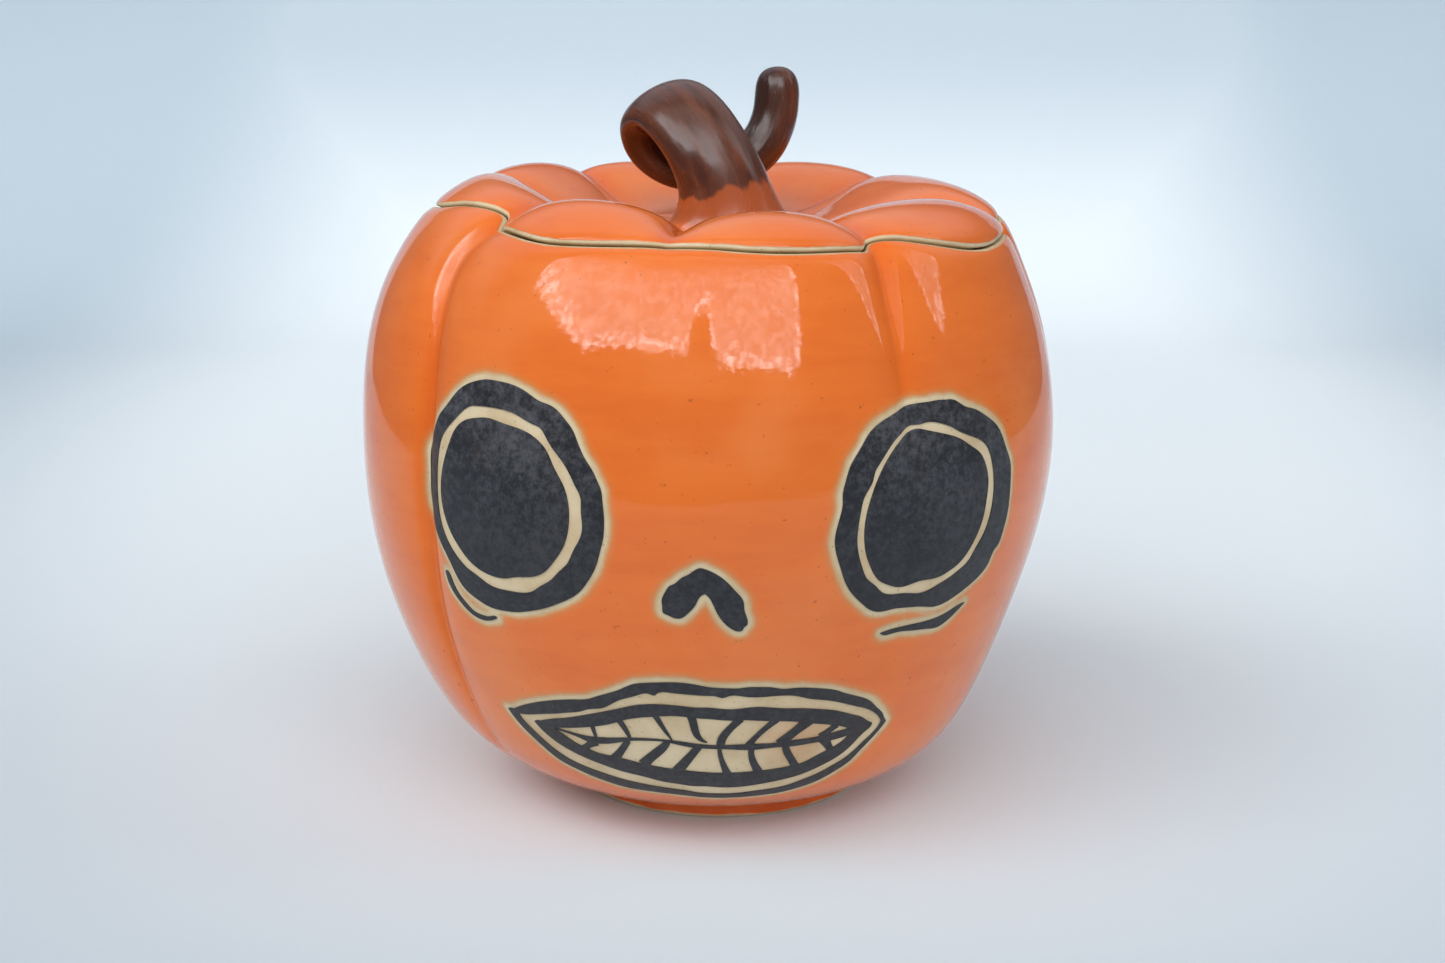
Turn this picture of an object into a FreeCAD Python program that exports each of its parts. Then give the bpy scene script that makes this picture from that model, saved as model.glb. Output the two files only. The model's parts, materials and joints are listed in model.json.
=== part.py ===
import FreeCAD, Part
import bisect
import math
import os

# A hand-built lidded stoneware jar in the shape of a squat pumpkin, with a skull face
# painted on the front in black slip. All lengths are millimetres and +Z is up. The origin
# is on the table, at the centre of the foot ring. The face looks towards -Y.
# Azimuths are degrees from -Y, positive towards +X (the viewer's right).

V = FreeCAD.Vector

# ---------------------------------------------------------------- driving dimensions

WALL = 6.0                  # clay wall of the body and the lid
FLOOR = 7.0                 # clay floor of the body
FOOT_HEIGHT = 5.5
FOOT_OUTER = 44.5
FOOT_INNER = 39.0
FOOT_ROUNDING = 1.2
BASE_RADIUS = 47.0          # flat underside of the body
INNER_FLOOR_RADIUS = 44.0
SLIP = 0.3                  # painted slip stands this proud of the clay

SEAM_GAP = 0.7              # air between the lid and the body along the cut
STEP_GAP = 0.35             # degrees of air at each side of a step in the cut
SEAM_SLOPE_RUN = 2.5        # the cut climbs the wall by this much on its way inwards
EDGE_REACH = 2.2            # the cut edges are rounded off over this width
EDGE_DROP = 0.7             # and by this much at the very edge

DISH_RADIUS = 8.0           # small flat at the middle of the lid, under the stem
DISH_HEIGHT = 165.0

FLANGE_OUTER = 66.0         # locating flange under the lid
FLANGE_WALL = 5.0
FLANGE_BOTTOM = 148.0
FLANGE_TOP = 182.0

# Outer profile (radius, height), from the flat underside, up the belly, over the
# shoulder and the crest of the lid, and down into the dish round the stem.
PROFILE = [
    (47.0, 5.5), (52.0, 6.9), (57.0, 8.8), (62.2, 11.4), (67.4, 14.5), (72.0, 18.0),
    (76.3, 22.2), (83.6, 35.4), (90.9, 53.2), (96.5, 71.0), (100.2, 88.7),
    (101.5, 106.4), (100.4, 124.2), (96.8, 141.9), (91.0, 156.1), (85.0, 166.7),
    (79.6, 172.2), (72.0, 176.3), (64.5, 178.0), (57.0, 177.0), (49.0, 173.8),
    (41.0, 170.3), (32.0, 167.5), (22.0, 165.8), (14.0, 165.1), (8.0, 165.0),
]

# The belly is not straight over its foot: how far each height is shifted along X.
LEAN = [
    (5.5, 0.0), (9.0, -0.8), (13.0, -1.8), (20.0, -3.2), (30.0, -4.3), (42.0, -4.9),
    (60.0, -5.0), (80.0, -4.2), (100.0, -3.3), (118.0, -3.1), (135.0, -3.6),
    (150.0, -3.6), (163.0, -2.4), (172.0, -1.4), (180.0, -0.8),
]

# The cut between lid and body: its height on the outside, by azimuth. It steps down on
# the left of the face and up on the right of it, so the lid only sits one way round.
SEAM = [
    (-180.0, 168.6), (-150.0, 169.6), (-120.0, 169.0), (-95.0, 170.0), (-75.0, 171.8),
    (-66.0, 173.6), (-58.0, 175.0), (-51.5, 175.8), (-50.3, 173.4), (-47.5, 172.3),
    (-42.0, 170.7), (-36.0, 169.3), (-30.0, 168.3), (-20.0, 168.6), (-10.0, 169.1),
    (0.0, 168.8), (8.0, 167.8), (16.0, 167.6), (24.0, 168.0), (28.9, 168.8),
    (31.4, 172.4), (34.5, 171.2), (40.0, 168.8), (46.0, 166.7), (53.0, 164.7),
    (60.0, 164.0), (67.0, 164.8), (76.0, 166.0), (82.0, 166.0), (84.6, 168.4),
    (110.0, 168.4), (140.0, 167.2), (180.0, 168.6),
]

# Creases between the lobes: azimuth, then depth low on the body, at half height, at the
# cut and at the crest of the lid.
CREASES = [
    (-49.6, 2.6, 4.6, 5.4, 6.0),
    (-8.0, 0.0, 0.0, 0.3, 7.5),
    (30.9, 0.4, 1.0, 4.2, 6.2),
    (82.0, 1.0, 2.0, 3.6, 6.0),
    (133.0, 0.5, 1.2, 2.6, 4.2),
    (180.0, 2.0, 3.4, 4.2, 6.0),
    (221.0, 0.5, 1.4, 3.0, 5.0),
    (260.0, 1.2, 2.4, 3.4, 5.0),
]
CREASE_HEIGHTS = (10.0, 40.0, 110.0, 166.0)     # where it dies out, and its body depths
CREASE_FADE = ((48.0, 0.8), (32.0, 0.35), (20.0, 0.0))  # radius and share, past the crest

# The first crease swings to the left under the cut and back again: its turn in degrees,
# by height, and how far to each side the clay goes with it.
GROOVE_TURN = [
    (30.0, -2.0), (60.0, -1.0), (100.0, 0.5), (137.0, 0.4), (150.0, -1.6), (160.0, -4.2),
    (166.0, -3.6), (172.0, 0.0),
]
GROOVE_TURN_WIDTH = 14.0

# The cross-section of a crease: a narrow fold in the middle of a broad hollow.
FOLD_SOFT = 1.0
FOLD_REACH = 3.2
FOLD_SHARE_BODY = 0.6
FOLD_SHARE_LID = 0.4
HOLLOW_SOFT = 4.0
HOLLOW_REACH_BODY = 13.0
HOLLOW_REACH_LID = 8.5
LID_SHARE_RADIUS = 90.0     # over the shoulder, the body's shape of crease turns into
LID_SHARE_WIDTH = 20.0      # the lid's over this change of radius
SHOULDER_HEIGHT = 155.0
CREST_WIDTH = 15.0          # how far a lobe's own height is felt from its crest
NORMAL_STEP = 1.5           # the profile's direction is taken over this length

# Height of each lobe's crest over the profile's own crest, by azimuth.
LOBE_LIFT = [
    (-180.0, 0.0), (-160.0, 1.2), (-120.0, 3.2), (-90.0, 3.4), (-72.0, 2.6), (-48.0, 1.0),
    (-28.0, 0.6), (10.0, -1.4), (58.0, -2.0), (110.0, -1.0), (157.0, 1.0), (180.0, 0.0),
]

# Columns of the control net, as offsets from each crease, then filled to this spacing.
FINE_OFFSETS = [0.5, 1.2, 2.0, 3.2, 5.2, 8.0]
FILL_SPACING = 4.6

# Stem, a tapered coil that rises from the dish, curls over once to the back and left,
# passes behind itself and ends in a rounded tip. Each station: centre x, y, z, half
# width, half thickness, and the direction of the width.
STEM = [
    (2.5, -4.0, 158.0, 15.5, 11.0, 0.95, 0.15, 0.10),
    (2.4, -6.5, 168.0, 14.4, 10.0, 0.92, 0.25, 0.20),
    (0.6, -8.0, 178.0, 12.8, 8.5, 0.85, 0.33, 0.33),
    (-3.8, -8.0, 187.5, 12.1, 7.0, 0.80, 0.40, 0.43),
    (-9.8, -4.0, 195.6, 11.8, 6.0, 0.80, 0.40, 0.43),
    (-15.8, 3.5, 199.0, 11.3, 5.8, 0.80, 0.40, 0.43),
    (-20.0, 10.0, 195.6, 10.6, 5.5, 0.80, 0.40, 0.43),
    (-19.6, 14.0, 188.6, 9.6, 5.3, 0.80, 0.40, 0.43),
    (-13.5, 16.6, 182.6, 8.8, 5.5, 0.75, 0.40, 0.50),
    (-5.0, 18.0, 180.6, 8.1, 6.0, 0.50, 0.40, 0.70),
    (4.0, 19.7, 181.0, 7.4, 6.5, 0.10, 0.50, 0.80),
    (11.8, 22.0, 185.6, 6.9, 6.7, -0.40, 0.60, 0.60),
    (16.0, 24.0, 194.0, 6.7, 6.7, -0.60, 0.60, 0.30),
    (16.9, 25.0, 202.2, 6.6, 6.6, -0.70, 0.60, 0.20),
]
STEM_TIP = (16.4, 25.2, 208.8)
STEM_ENDING = ((0.45, 0.92), (0.8, 0.7), (0.97, 0.4), (1.0, 0.12))  # share, size
STEM_STEP = 3.0             # the coil is built from rings this far apart
STEM_ROUND = 24             # and this many points round each ring

# Painted shapes, seen flat from the direction each was painted from: (across, up), where
# across is to the viewer's right of the jar's axis. A shape is one closed run of points,
# or several runs that meet in corners.
LEFT_EYE_OUTER = [
    [(-10.1, 134.8), (-6.2, 134.7), (-1.7, 134.1), (2.0, 132.8), (6.1, 130.9), (9.0, 130.2),
     (11.4, 128.8), (13.8, 126.5), (15.3, 124.8), (16.5, 122.6), (17.7, 120.0), (19.7, 116.6),
     (21.1, 114.6), (22.2, 112.3), (23.1, 110.3), (23.5, 107.5), (23.8, 103.7), (23.8, 101.1),
     (23.2, 96.7), (22.4, 94.0), (20.8, 89.4), (18.5, 85.6), (16.4, 82.9), (13.7, 80.7),
     (9.6, 78.5), (5.5, 76.7), (0.8, 75.2), (-3.0, 74.3), (-7.4, 73.9), (-12.5, 74.1),
     (-17.0, 75.6), (-20.5, 77.3), (-22.4, 79.0), (-25.9, 84.4), (-30.3, 89.9), (-33.4, 95.1),
     (-34.8, 100.7), (-34.8, 107.0), (-34.4, 113.4), (-31.2, 119.1), (-28.2, 123.5),
     (-24.9, 126.6), (-20.8, 130.8), (-17.2, 133.0), (-13.7, 134.2)],
]
LEFT_EYE_INNER = [
    [(-14.8, 127.7), (-5.2, 127.9), (-1.8, 127.4), (4.6, 125.1), (6.6, 124.4), (7.7, 123.2),
     (9.8, 120.2), (12.9, 116.7), (15.4, 112.9), (16.9, 110.0), (17.9, 108.0), (18.0, 104.6),
     (18.2, 100.2), (17.5, 97.3), (15.4, 93.6), (13.3, 89.8), (11.2, 87.8), (8.4, 85.0),
     (4.9, 82.7), (2.2, 80.9), (-4.1, 80.0), (-11.8, 80.7), (-15.7, 82.5), (-18.9, 83.8),
     (-22.1, 86.0), (-28.3, 94.3), (-29.6, 101.3), (-28.6, 113.6), (-27.1, 117.6),
     (-23.4, 121.7), (-20.2, 124.6), (-17.3, 126.8)],
]
LEFT_PUPIL = [
    [(-12.2, 125.0), (-8.3, 125.1), (-5.0, 124.5), (2.3, 123.1), (8.7, 118.6), (10.6, 115.0),
     (13.4, 110.2), (14.7, 103.0), (12.2, 93.5), (9.3, 89.6), (6.6, 86.8), (2.8, 85.1),
     (-2.2, 84.3), (-5.2, 83.5), (-10.2, 83.4), (-17.9, 86.3), (-21.0, 89.1), (-23.9, 92.5),
     (-27.6, 102.7), (-23.4, 117.2), (-21.0, 121.1), (-17.9, 123.5)],
]
LEFT_UNDERLINE = [
    [(-28.6, 81.1), (-27.5, 77.3), (-23.2, 72.6), (-20.7, 70.9), (-10.6, 71.1)],
    [(-10.6, 71.1), (-11.0, 71.5), (-13.1, 71.2), (-16.2, 71.0), (-18.9, 71.5), (-21.4, 73.2),
     (-25.7, 78.2), (-27.7, 81.2), (-28.6, 81.1)],
]
RIGHT_EYE_OUTER = [
    [(-2.0, 129.0), (1.1, 128.2), (4.2, 126.4), (6.6, 125.7), (10.4, 123.9), (14.0, 121.7),
     (16.8, 119.4), (18.9, 116.3), (20.9, 112.5), (22.6, 109.3), (23.4, 104.2), (23.6, 99.6),
     (23.2, 92.8), (22.2, 88.8), (21.3, 86.3), (19.4, 84.7), (18.0, 81.7), (15.8, 79.2),
     (12.1, 77.1), (6.0, 74.6), (1.3, 73.2), (-2.4, 73.0), (-6.7, 73.9), (-11.1, 74.5),
     (-16.3, 74.8), (-20.5, 74.8), (-22.9, 75.5), (-26.0, 77.8), (-29.8, 81.5), (-31.8, 84.5),
     (-33.7, 88.8), (-35.4, 93.4), (-35.9, 96.5), (-35.5, 99.9), (-34.8, 103.0), (-34.4, 105.3),
     (-34.4, 108.3), (-33.6, 111.7), (-32.2, 115.6), (-29.7, 119.2), (-27.0, 122.9),
     (-24.0, 125.2), (-18.6, 127.3), (-16.1, 128.2), (-11.7, 129.0), (-7.4, 129.1),
     (-4.7, 129.2)],
]
RIGHT_EYE_INNER = [
    [(-10.9, 123.8), (-8.0, 124.0), (-5.4, 123.4), (-1.6, 122.0), (1.8, 120.2), (11.5, 115.4),
     (14.7, 108.5), (15.5, 100.4), (12.5, 90.0), (10.4, 87.2), (8.4, 84.3), (5.0, 82.2),
     (1.6, 80.7), (-2.4, 79.4), (-8.3, 78.1), (-12.6, 78.8), (-17.9, 79.3), (-21.2, 80.7),
     (-23.3, 82.7), (-26.1, 85.0), (-27.6, 87.6), (-30.0, 95.0), (-29.5, 104.0), (-28.8, 106.9),
     (-26.4, 111.1), (-25.7, 113.5), (-24.6, 115.0), (-19.4, 120.7), (-17.0, 122.3),
     (-14.1, 123.7)],
]
RIGHT_PUPIL = [
    [(-11.1, 122.5), (-2.9, 120.2), (1.7, 118.4), (5.6, 116.0), (9.1, 113.6), (11.2, 110.5),
     (12.6, 106.3), (12.5, 100.9), (11.5, 94.8), (9.6, 90.5), (4.4, 84.4), (0.5, 82.6),
     (-4.1, 81.6), (-9.6, 81.7), (-14.8, 80.9), (-19.0, 82.1), (-22.3, 83.9), (-25.1, 87.5),
     (-27.2, 92.0), (-28.0, 101.7), (-26.9, 106.3), (-17.2, 120.6)],
]
RIGHT_UNDERLINE = [
    [(-18.5, 68.1), (-9.2, 69.0), (4.2, 70.0), (7.8, 71.1), (10.7, 71.4)],
    [(10.7, 71.4), (6.5, 68.4), (0.5, 66.1), (-2.7, 66.5), (-8.1, 67.1), (-13.4, 67.5),
     (-17.0, 67.3), (-18.5, 68.1)],
]
NOSE = [
    [(3.1, 83.6), (1.5, 82.2), (0.8, 80.7), (-1.5, 77.9), (-3.0, 76.8), (-5.2, 77.0),
     (-6.5, 77.7), (-7.5, 78.2), (-7.7, 79.9), (-7.8, 81.5), (-6.6, 84.5), (-5.7, 85.7),
     (-4.7, 86.2), (-2.6, 88.0), (-0.9, 88.9), (2.1, 90.6), (3.0, 90.4), (9.0, 86.4),
     (10.8, 84.2), (12.8, 81.0), (12.9, 79.2), (13.7, 75.9), (13.5, 74.6), (12.8, 74.0),
     (12.4, 73.2), (11.7, 72.9), (9.9, 73.5), (5.6, 79.4), (3.8, 83.0), (3.1, 83.6)],
]
MOUTH_OUTSIDE = [
    [(-50.7, 42.5), (-45.3, 45.9), (-41.2, 47.6), (-31.6, 50.0), (-28.4, 50.7), (-26.6, 51.6),
     (-20.0, 54.6), (-16.4, 56.6), (-12.0, 57.4), (-4.6, 57.8), (1.3, 56.9), (3.4, 56.4),
     (8.8, 55.9), (11.1, 55.8), (12.8, 56.0), (16.8, 55.9), (19.5, 55.6), (22.8, 54.8),
     (25.2, 54.8), (32.3, 53.7), (35.7, 52.7), (38.7, 51.0), (45.0, 47.0), (47.2, 43.8),
     (48.5, 41.8), (49.0, 40.0), (49.5, 38.9)],
    [(49.5, 38.9), (47.7, 36.2), (42.5, 30.1), (39.7, 26.9), (36.9, 24.9), (29.8, 20.9),
     (25.2, 19.4), (21.2, 18.4), (17.0, 17.9), (-1.1, 17.9), (-3.3, 18.3), (-17.2, 19.8),
     (-21.4, 20.4), (-25.3, 21.6), (-29.5, 23.0), (-33.7, 24.8), (-37.6, 26.6), (-44.5, 32.5),
     (-49.6, 37.9), (-52.4, 42.1)],
    [(-52.4, 42.1), (-51.4, 42.5), (-50.7, 42.5)],
]
MOUTH_INSIDE = [
    [(-49.2, 41.4), (-46.3, 41.9), (-42.0, 43.2), (-37.5, 44.4), (-34.1, 45.4), (-31.2, 46.2),
     (-28.3, 47.5), (-25.1, 48.2), (-20.4, 51.2), (-15.5, 53.2), (-12.0, 54.0), (-10.6, 53.6),
     (-9.9, 54.2), (-6.4, 54.6), (-3.4, 54.3), (3.0, 53.8), (5.5, 53.5), (7.0, 53.0),
     (8.4, 53.5), (12.7, 53.2), (26.5, 52.1), (28.9, 51.1), (33.6, 49.8), (41.6, 46.1),
     (44.0, 44.7), (48.1, 39.4)],
    [(48.1, 39.4), (47.0, 36.9), (44.2, 33.9), (38.6, 28.6), (35.1, 26.5), (31.2, 24.4),
     (27.3, 22.8), (23.1, 21.2), (13.6, 19.8), (8.6, 19.2), (4.0, 19.3), (-0.9, 19.8),
     (-3.1, 20.4), (-7.5, 21.2), (-21.8, 23.7), (-30.9, 26.4), (-35.2, 28.1), (-46.8, 37.9),
     (-48.2, 39.5), (-49.2, 41.4)],
]
BAND_OUTSIDE = [
    [(-43.0, 40.5), (-39.6, 42.0), (-35.0, 43.4), (-30.6, 45.0), (-19.9, 48.8), (-16.7, 49.9),
     (-4.3, 50.5), (1.0, 50.0), (2.5, 50.0), (8.9, 49.3), (15.4, 49.7), (22.8, 48.6),
     (26.5, 48.2), (30.2, 47.5), (37.1, 45.4), (40.2, 43.7), (42.7, 42.2), (45.1, 39.7),
     (45.7, 39.3)],
    [(45.7, 39.3), (45.4, 38.2), (43.8, 36.7), (41.0, 33.7), (37.5, 30.4), (31.6, 27.1),
     (27.0, 25.2), (18.3, 23.3), (4.9, 22.3), (0.7, 22.8), (-1.5, 22.8), (-5.6, 23.5),
     (-10.4, 24.3), (-14.5, 25.5), (-21.8, 27.1), (-25.6, 28.3), (-33.3, 31.1), (-44.7, 39.9)],
    [(-44.7, 39.9), (-43.9, 40.5), (-43.0, 40.5)],
]
BAND_INSIDE = [
    [(-39.7, 39.1), (-28.7, 41.5), (-21.5, 44.0), (-19.8, 44.8), (-9.8, 47.0), (-5.0, 47.3),
     (0.9, 46.6), (3.4, 46.4), (8.5, 45.8), (11.6, 45.8), (16.3, 45.3), (26.8, 43.7),
     (29.9, 42.8), (32.6, 42.1), (40.1, 38.7)],
    [(40.1, 38.7), (39.1, 36.4), (30.6, 31.1), (27.4, 29.4), (25.3, 28.9), (16.3, 28.0),
     (2.7, 28.0), (-2.5, 28.6), (-14.8, 30.4), (-23.1, 32.1), (-27.4, 32.7), (-30.1, 33.7),
     (-32.9, 34.9), (-35.7, 36.8), (-39.7, 39.1)],
]

# Brush strokes between the lips: middle line and width, as (across, up, width).
BITE_LINE = [
    (-39.7, 39.1, 0.2), (-36.0, 38.6, 0.6), (-32.0, 37.8, 1.1), (-29.5, 37.2, 1.9),
    (-25.5, 37.3, 2.1), (-22.5, 37.8, 1.8), (-19.5, 38.5, 1.2), (-14.0, 39.1, 0.8),
    (-8.5, 39.0, 0.7), (-4.0, 38.2, 1.3), (0.5, 37.4, 1.3), (8.5, 36.9, 1.4),
    (13.5, 36.7, 2.0), (20.5, 36.7, 1.5), (25.0, 36.8, 2.0), (30.5, 37.0, 1.8),
    (35.0, 37.3, 2.4), (40.2, 38.2, 2.0),
]
TEETH = [
    [(-28.0, 41.8, 1.3), (-27.7, 40.1, 1.0), (-27.3, 38.4, 0.7)],
    [(-20.4, 44.6, 1.6), (-19.1, 42.2, 1.4), (-17.9, 39.1, 0.8)],
    [(-10.8, 47.2, 1.6), (-9.1, 43.8, 1.2), (-7.7, 41.1, 0.8), (-6.7, 39.4, 0.4)],
    [(-1.4, 47.2, 2.2), (-0.6, 43.2, 2.0), (0.2, 40.6, 1.6), (1.3, 39.3, 0.9), (2.5, 38.7, 0.3)],
    [(11.3, 46.2, 2.4), (8.8, 43.3, 2.0), (6.8, 40.5, 2.2), (6.0, 37.6, 2.2)],
    [(20.7, 45.2, 2.0), (18.3, 43.1, 1.6), (15.5, 40.2, 1.5), (13.3, 37.3, 2.0)],
    [(29.0, 43.9, 3.3), (26.1, 41.3, 2.6), (23.7, 39.2, 2.6), (21.6, 37.0, 3.4)],
    [(36.2, 41.0, 2.0), (34.0, 39.2, 1.7), (32.3, 37.8, 2.6)],
    [(-27.7, 36.6, 3.2), (-29.7, 34.9, 1.9), (-31.2, 33.5, 2.0)],
    [(-18.6, 38.1, 1.8), (-19.9, 35.7, 1.9), (-22.5, 31.6, 2.7)],
    [(-7.8, 38.7, 1.5), (-9.4, 36.5, 2.4), (-12.0, 33.7, 2.7), (-14.8, 30.3, 3.3)],
    [(0.3, 37.2, 2.0), (-2.3, 33.6, 2.4), (-5.8, 28.5, 3.2)],
    [(5.7, 36.6, 1.1), (6.0, 32.9, 1.3), (6.7, 30.0, 1.7), (7.5, 26.8, 2.4)],
    [(14.0, 36.4, 1.6), (14.0, 33.1, 1.7), (14.6, 30.5, 2.0), (15.8, 27.4, 2.3)],
    [(22.8, 36.2, 1.8), (23.6, 33.0, 2.0), (24.6, 30.5, 2.0), (25.4, 28.0, 2.3)],
    [(33.2, 36.6, 3.2), (34.0, 34.4, 2.1), (35.0, 32.2, 2.0)],
]

# The direction from which each part of the face was painted, as an azimuth.
LEFT_EYE_VIEW = -30.0
RIGHT_EYE_VIEW = 38.0
MOUTH_VIEW = -4.0
PRISM_START = 30.0          # the painted outlines are pushed outwards from here
PRISM_LENGTH = 90.0


# ---------------------------------------------------------------- tables and profile

class Table:
    """A smooth curve through hand-set (x, y) points: without overshoot, or free to swing
    past a point, which keeps bends round."""

    def __init__(self, points, free=False):
        self.x = [p[0] for p in points]
        self.y = [p[1] for p in points]
        steps = [(b[1] - a[1]) / (b[0] - a[0]) for a, b in zip(points, points[1:])]
        if free:
            inner = [(a + b) / 2 for a, b in zip(steps, steps[1:])]
        else:
            inner = [2 * a * b / (a + b) if a * b > 0 else 0.0
                     for a, b in zip(steps, steps[1:])]
        self.slopes = [steps[0]] + inner + [steps[-1]]

    def at(self, x):
        x = min(max(x, self.x[0]), self.x[-1])
        i = min(bisect.bisect_right(self.x, x), len(self.x) - 1) - 1
        h = self.x[i + 1] - self.x[i]
        t = (x - self.x[i]) / h
        start = self.y[i] * (1 + 2 * t) + self.slopes[i] * h * t
        end = self.y[i + 1] * (3 - 2 * t) - self.slopes[i + 1] * h * (1 - t)
        return start * (1 - t) ** 2 + end * t * t


def running_length(points):
    """Distance of every point along a run of points."""
    lengths = [0.0]
    for a, b in zip(points, points[1:]):
        lengths.append(lengths[-1] + math.dist(a, b))
    return lengths


PROFILE_LENGTH = running_length(PROFILE)
PROFILE_R = Table([(s, p[0]) for s, p in zip(PROFILE_LENGTH, PROFILE)])
PROFILE_Z = Table([(s, p[1]) for s, p in zip(PROFILE_LENGTH, PROFILE)])
TOTAL_LENGTH = PROFILE_LENGTH[-1]
CREST = max(range(len(PROFILE)), key=lambda i: PROFILE[i][1])
CREST_LENGTH = PROFILE_LENGTH[CREST]
CREST_RADIUS = PROFILE[CREST][0]


def profile_normal(s):
    """Outward normal (radial, up) of the profile."""
    below = max(s - NORMAL_STEP, 0.0)
    above = min(s + NORMAL_STEP, TOTAL_LENGTH)
    dr = PROFILE_R.at(above) - PROFILE_R.at(below)
    dz = PROFILE_Z.at(above) - PROFILE_Z.at(below)
    length = math.hypot(dr, dz)
    return dz / length, -dr / length


def halve(test, low, high):
    """The point between low and high where a test turns false."""
    for _ in range(36):
        middle = (low + high) / 2
        if test(middle):
            low = middle
        else:
            high = middle
    return (low + high) / 2


def length_at_height(z):
    """Distance along the profile where it reaches a height, on the way up."""
    return halve(lambda s: PROFILE_Z.at(s) < z, 0.0, CREST_LENGTH)


def length_at_radius(r):
    """Distance along the profile where it comes in to a radius, past the crest."""
    return halve(lambda s: PROFILE_R.at(s) > r, CREST_LENGTH, TOTAL_LENGTH)


def turn_between(a, b):
    """Signed angle from b to a, within half a turn."""
    return (a - b + 180.0) % 360.0 - 180.0


# ---------------------------------------------------------------- creases and lobes

def crease_table(crease):
    """Depth of a crease along the profile, from the foot to the dish."""
    _, low, middle, top, crest = crease
    body = [(length_at_height(z), depth) for z, depth in
            zip(CREASE_HEIGHTS, (0.0, low, middle, top))]
    inwards = [(length_at_radius(r), share * crest) for r, share in CREASE_FADE]
    return Table([(0.0, 0.0)] + body + [(CREST_LENGTH, crest)] + inwards)


CREASE_TABLES = [crease_table(crease) for crease in CREASES]
SEAM_TABLE = Table(SEAM)
LOBE_TABLE = Table(LOBE_LIFT)
LEAN_TABLE = Table(LEAN)
GROOVE_TABLE = Table(GROOVE_TURN)


def crease_shape(distance, lid_share):
    """Cross-section of a crease: a narrow fold in a broad hollow, 1 deep."""
    narrow = math.exp(-(math.hypot(distance, FOLD_SOFT) - FOLD_SOFT) / FOLD_REACH)
    reach = HOLLOW_REACH_BODY + (HOLLOW_REACH_LID - HOLLOW_REACH_BODY) * lid_share
    broad = math.exp(-(math.hypot(distance, HOLLOW_SOFT) - HOLLOW_SOFT) / reach)
    narrow_share = FOLD_SHARE_BODY + (FOLD_SHARE_LID - FOLD_SHARE_BODY) * lid_share
    return narrow_share * narrow + (1 - narrow_share) * broad


def drift(column, z):
    """How far a column of the net is turned at a height, to follow the first crease."""
    away = turn_between(column, CREASES[0][0])
    return GROOVE_TABLE.at(z) * math.exp(-(away / GROOVE_TURN_WIDTH) ** 2)


# ---------------------------------------------------------------- the net

def net_columns():
    """Azimuths of the control net: close together at every crease."""
    marks = []
    for crease in CREASES:
        marks.append(crease[0])
        for offset in FINE_OFFSETS:
            marks += [crease[0] - offset, crease[0] + offset]
    marks = sorted((m + 180.0) % 360.0 - 180.0 for m in marks)
    columns = []
    for a, b in zip(marks, marks[1:] + [marks[0] + 360.0]):
        pieces = max(1, math.ceil((b - a) / FILL_SPACING))
        columns += [a + (b - a) * k / pieces for k in range(pieces)]
    return columns


def seam_length(column):
    """Distance along the profile of the cut, at a column."""
    return length_at_height(SEAM_TABLE.at(turn_between(column, 0.0)))


COLUMNS = net_columns()
SEAM_LENGTH = {column: seam_length(column) for column in COLUMNS}
LID_LENGTH = {column: SEAM_GAP + max(seam_length(column + side) for side in
                                     (-STEP_GAP, 0.0, STEP_GAP)) for column in COLUMNS}


def skin_point(column, s, inset=0.0, fold=1.0):
    """A point of the clay surface: inset is how far under the outer skin it lies, and
    fold is how much of each crease reaches it."""
    r = PROFILE_R.at(s)
    z = PROFILE_Z.at(s)
    nr, nz = profile_normal(s)
    lid_share = 0.0
    crest_share = 0.0
    if z > SHOULDER_HEIGHT:
        lid_share = min(max((LID_SHARE_RADIUS - r) / LID_SHARE_WIDTH, 0.0), 1.0)
        crest_share = math.exp(-((r - CREST_RADIUS) / CREST_WIDTH) ** 2)
    depth = 0.0
    for crease, table in zip(CREASES, CREASE_TABLES):
        distance = r * math.radians(turn_between(column, crease[0]))
        depth += table.at(s) * crease_shape(distance, lid_share)
    lift = LOBE_TABLE.at(turn_between(column, 0.0)) * crest_share
    sunk = inset + depth * fold
    radius = r - nr * sunk
    height = z - nz * sunk + lift
    angle = math.radians(column + drift(column, z))
    return V(LEAN_TABLE.at(z) + radius * math.sin(angle), -radius * math.cos(angle), height)


def skin_net(first, last, shares, inset=0.0, fold=1.0, rounded=None):
    """Rows of poles between two edges, each edge a function of the column. rounded
    names the edge at the cut, "first" or "last", which is eased inwards."""
    rows = []
    for share in shares:
        row = []
        for column in COLUMNS:
            a, b = first(column), last(column)
            s = a + (b - a) * share
            to_cut = {"first": s - a, "last": b - s, None: EDGE_REACH}[rounded]
            ease = max(0.0, 1 - to_cut / EDGE_REACH)
            row.append(skin_point(column, s, inset + EDGE_DROP * ease ** 2, fold))
        rows.append(row)
    return rows


def flat_row(radius, height):
    return [V(radius * math.sin(math.radians(c)), -radius * math.cos(math.radians(c)), height)
            for c in COLUMNS]


def net_face(rows, degree=3):
    """Face of a B-spline surface, closed round the jar and open from row to row."""
    count = len(COLUMNS)
    around = list(zip(*rows))
    poles = [list(column) for column in around]
    spans = len(rows) - degree
    surface = Part.BSplineSurface()
    surface.buildFromPolesMultsKnots(
        poles, [1] * (count + 1), [degree + 1] + [1] * (spans - 1) + [degree + 1],
        [float(k) for k in range(count + 1)], [float(k) for k in range(spans + 1)],
        True, False, 3, degree)
    return surface.toShape()


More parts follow.
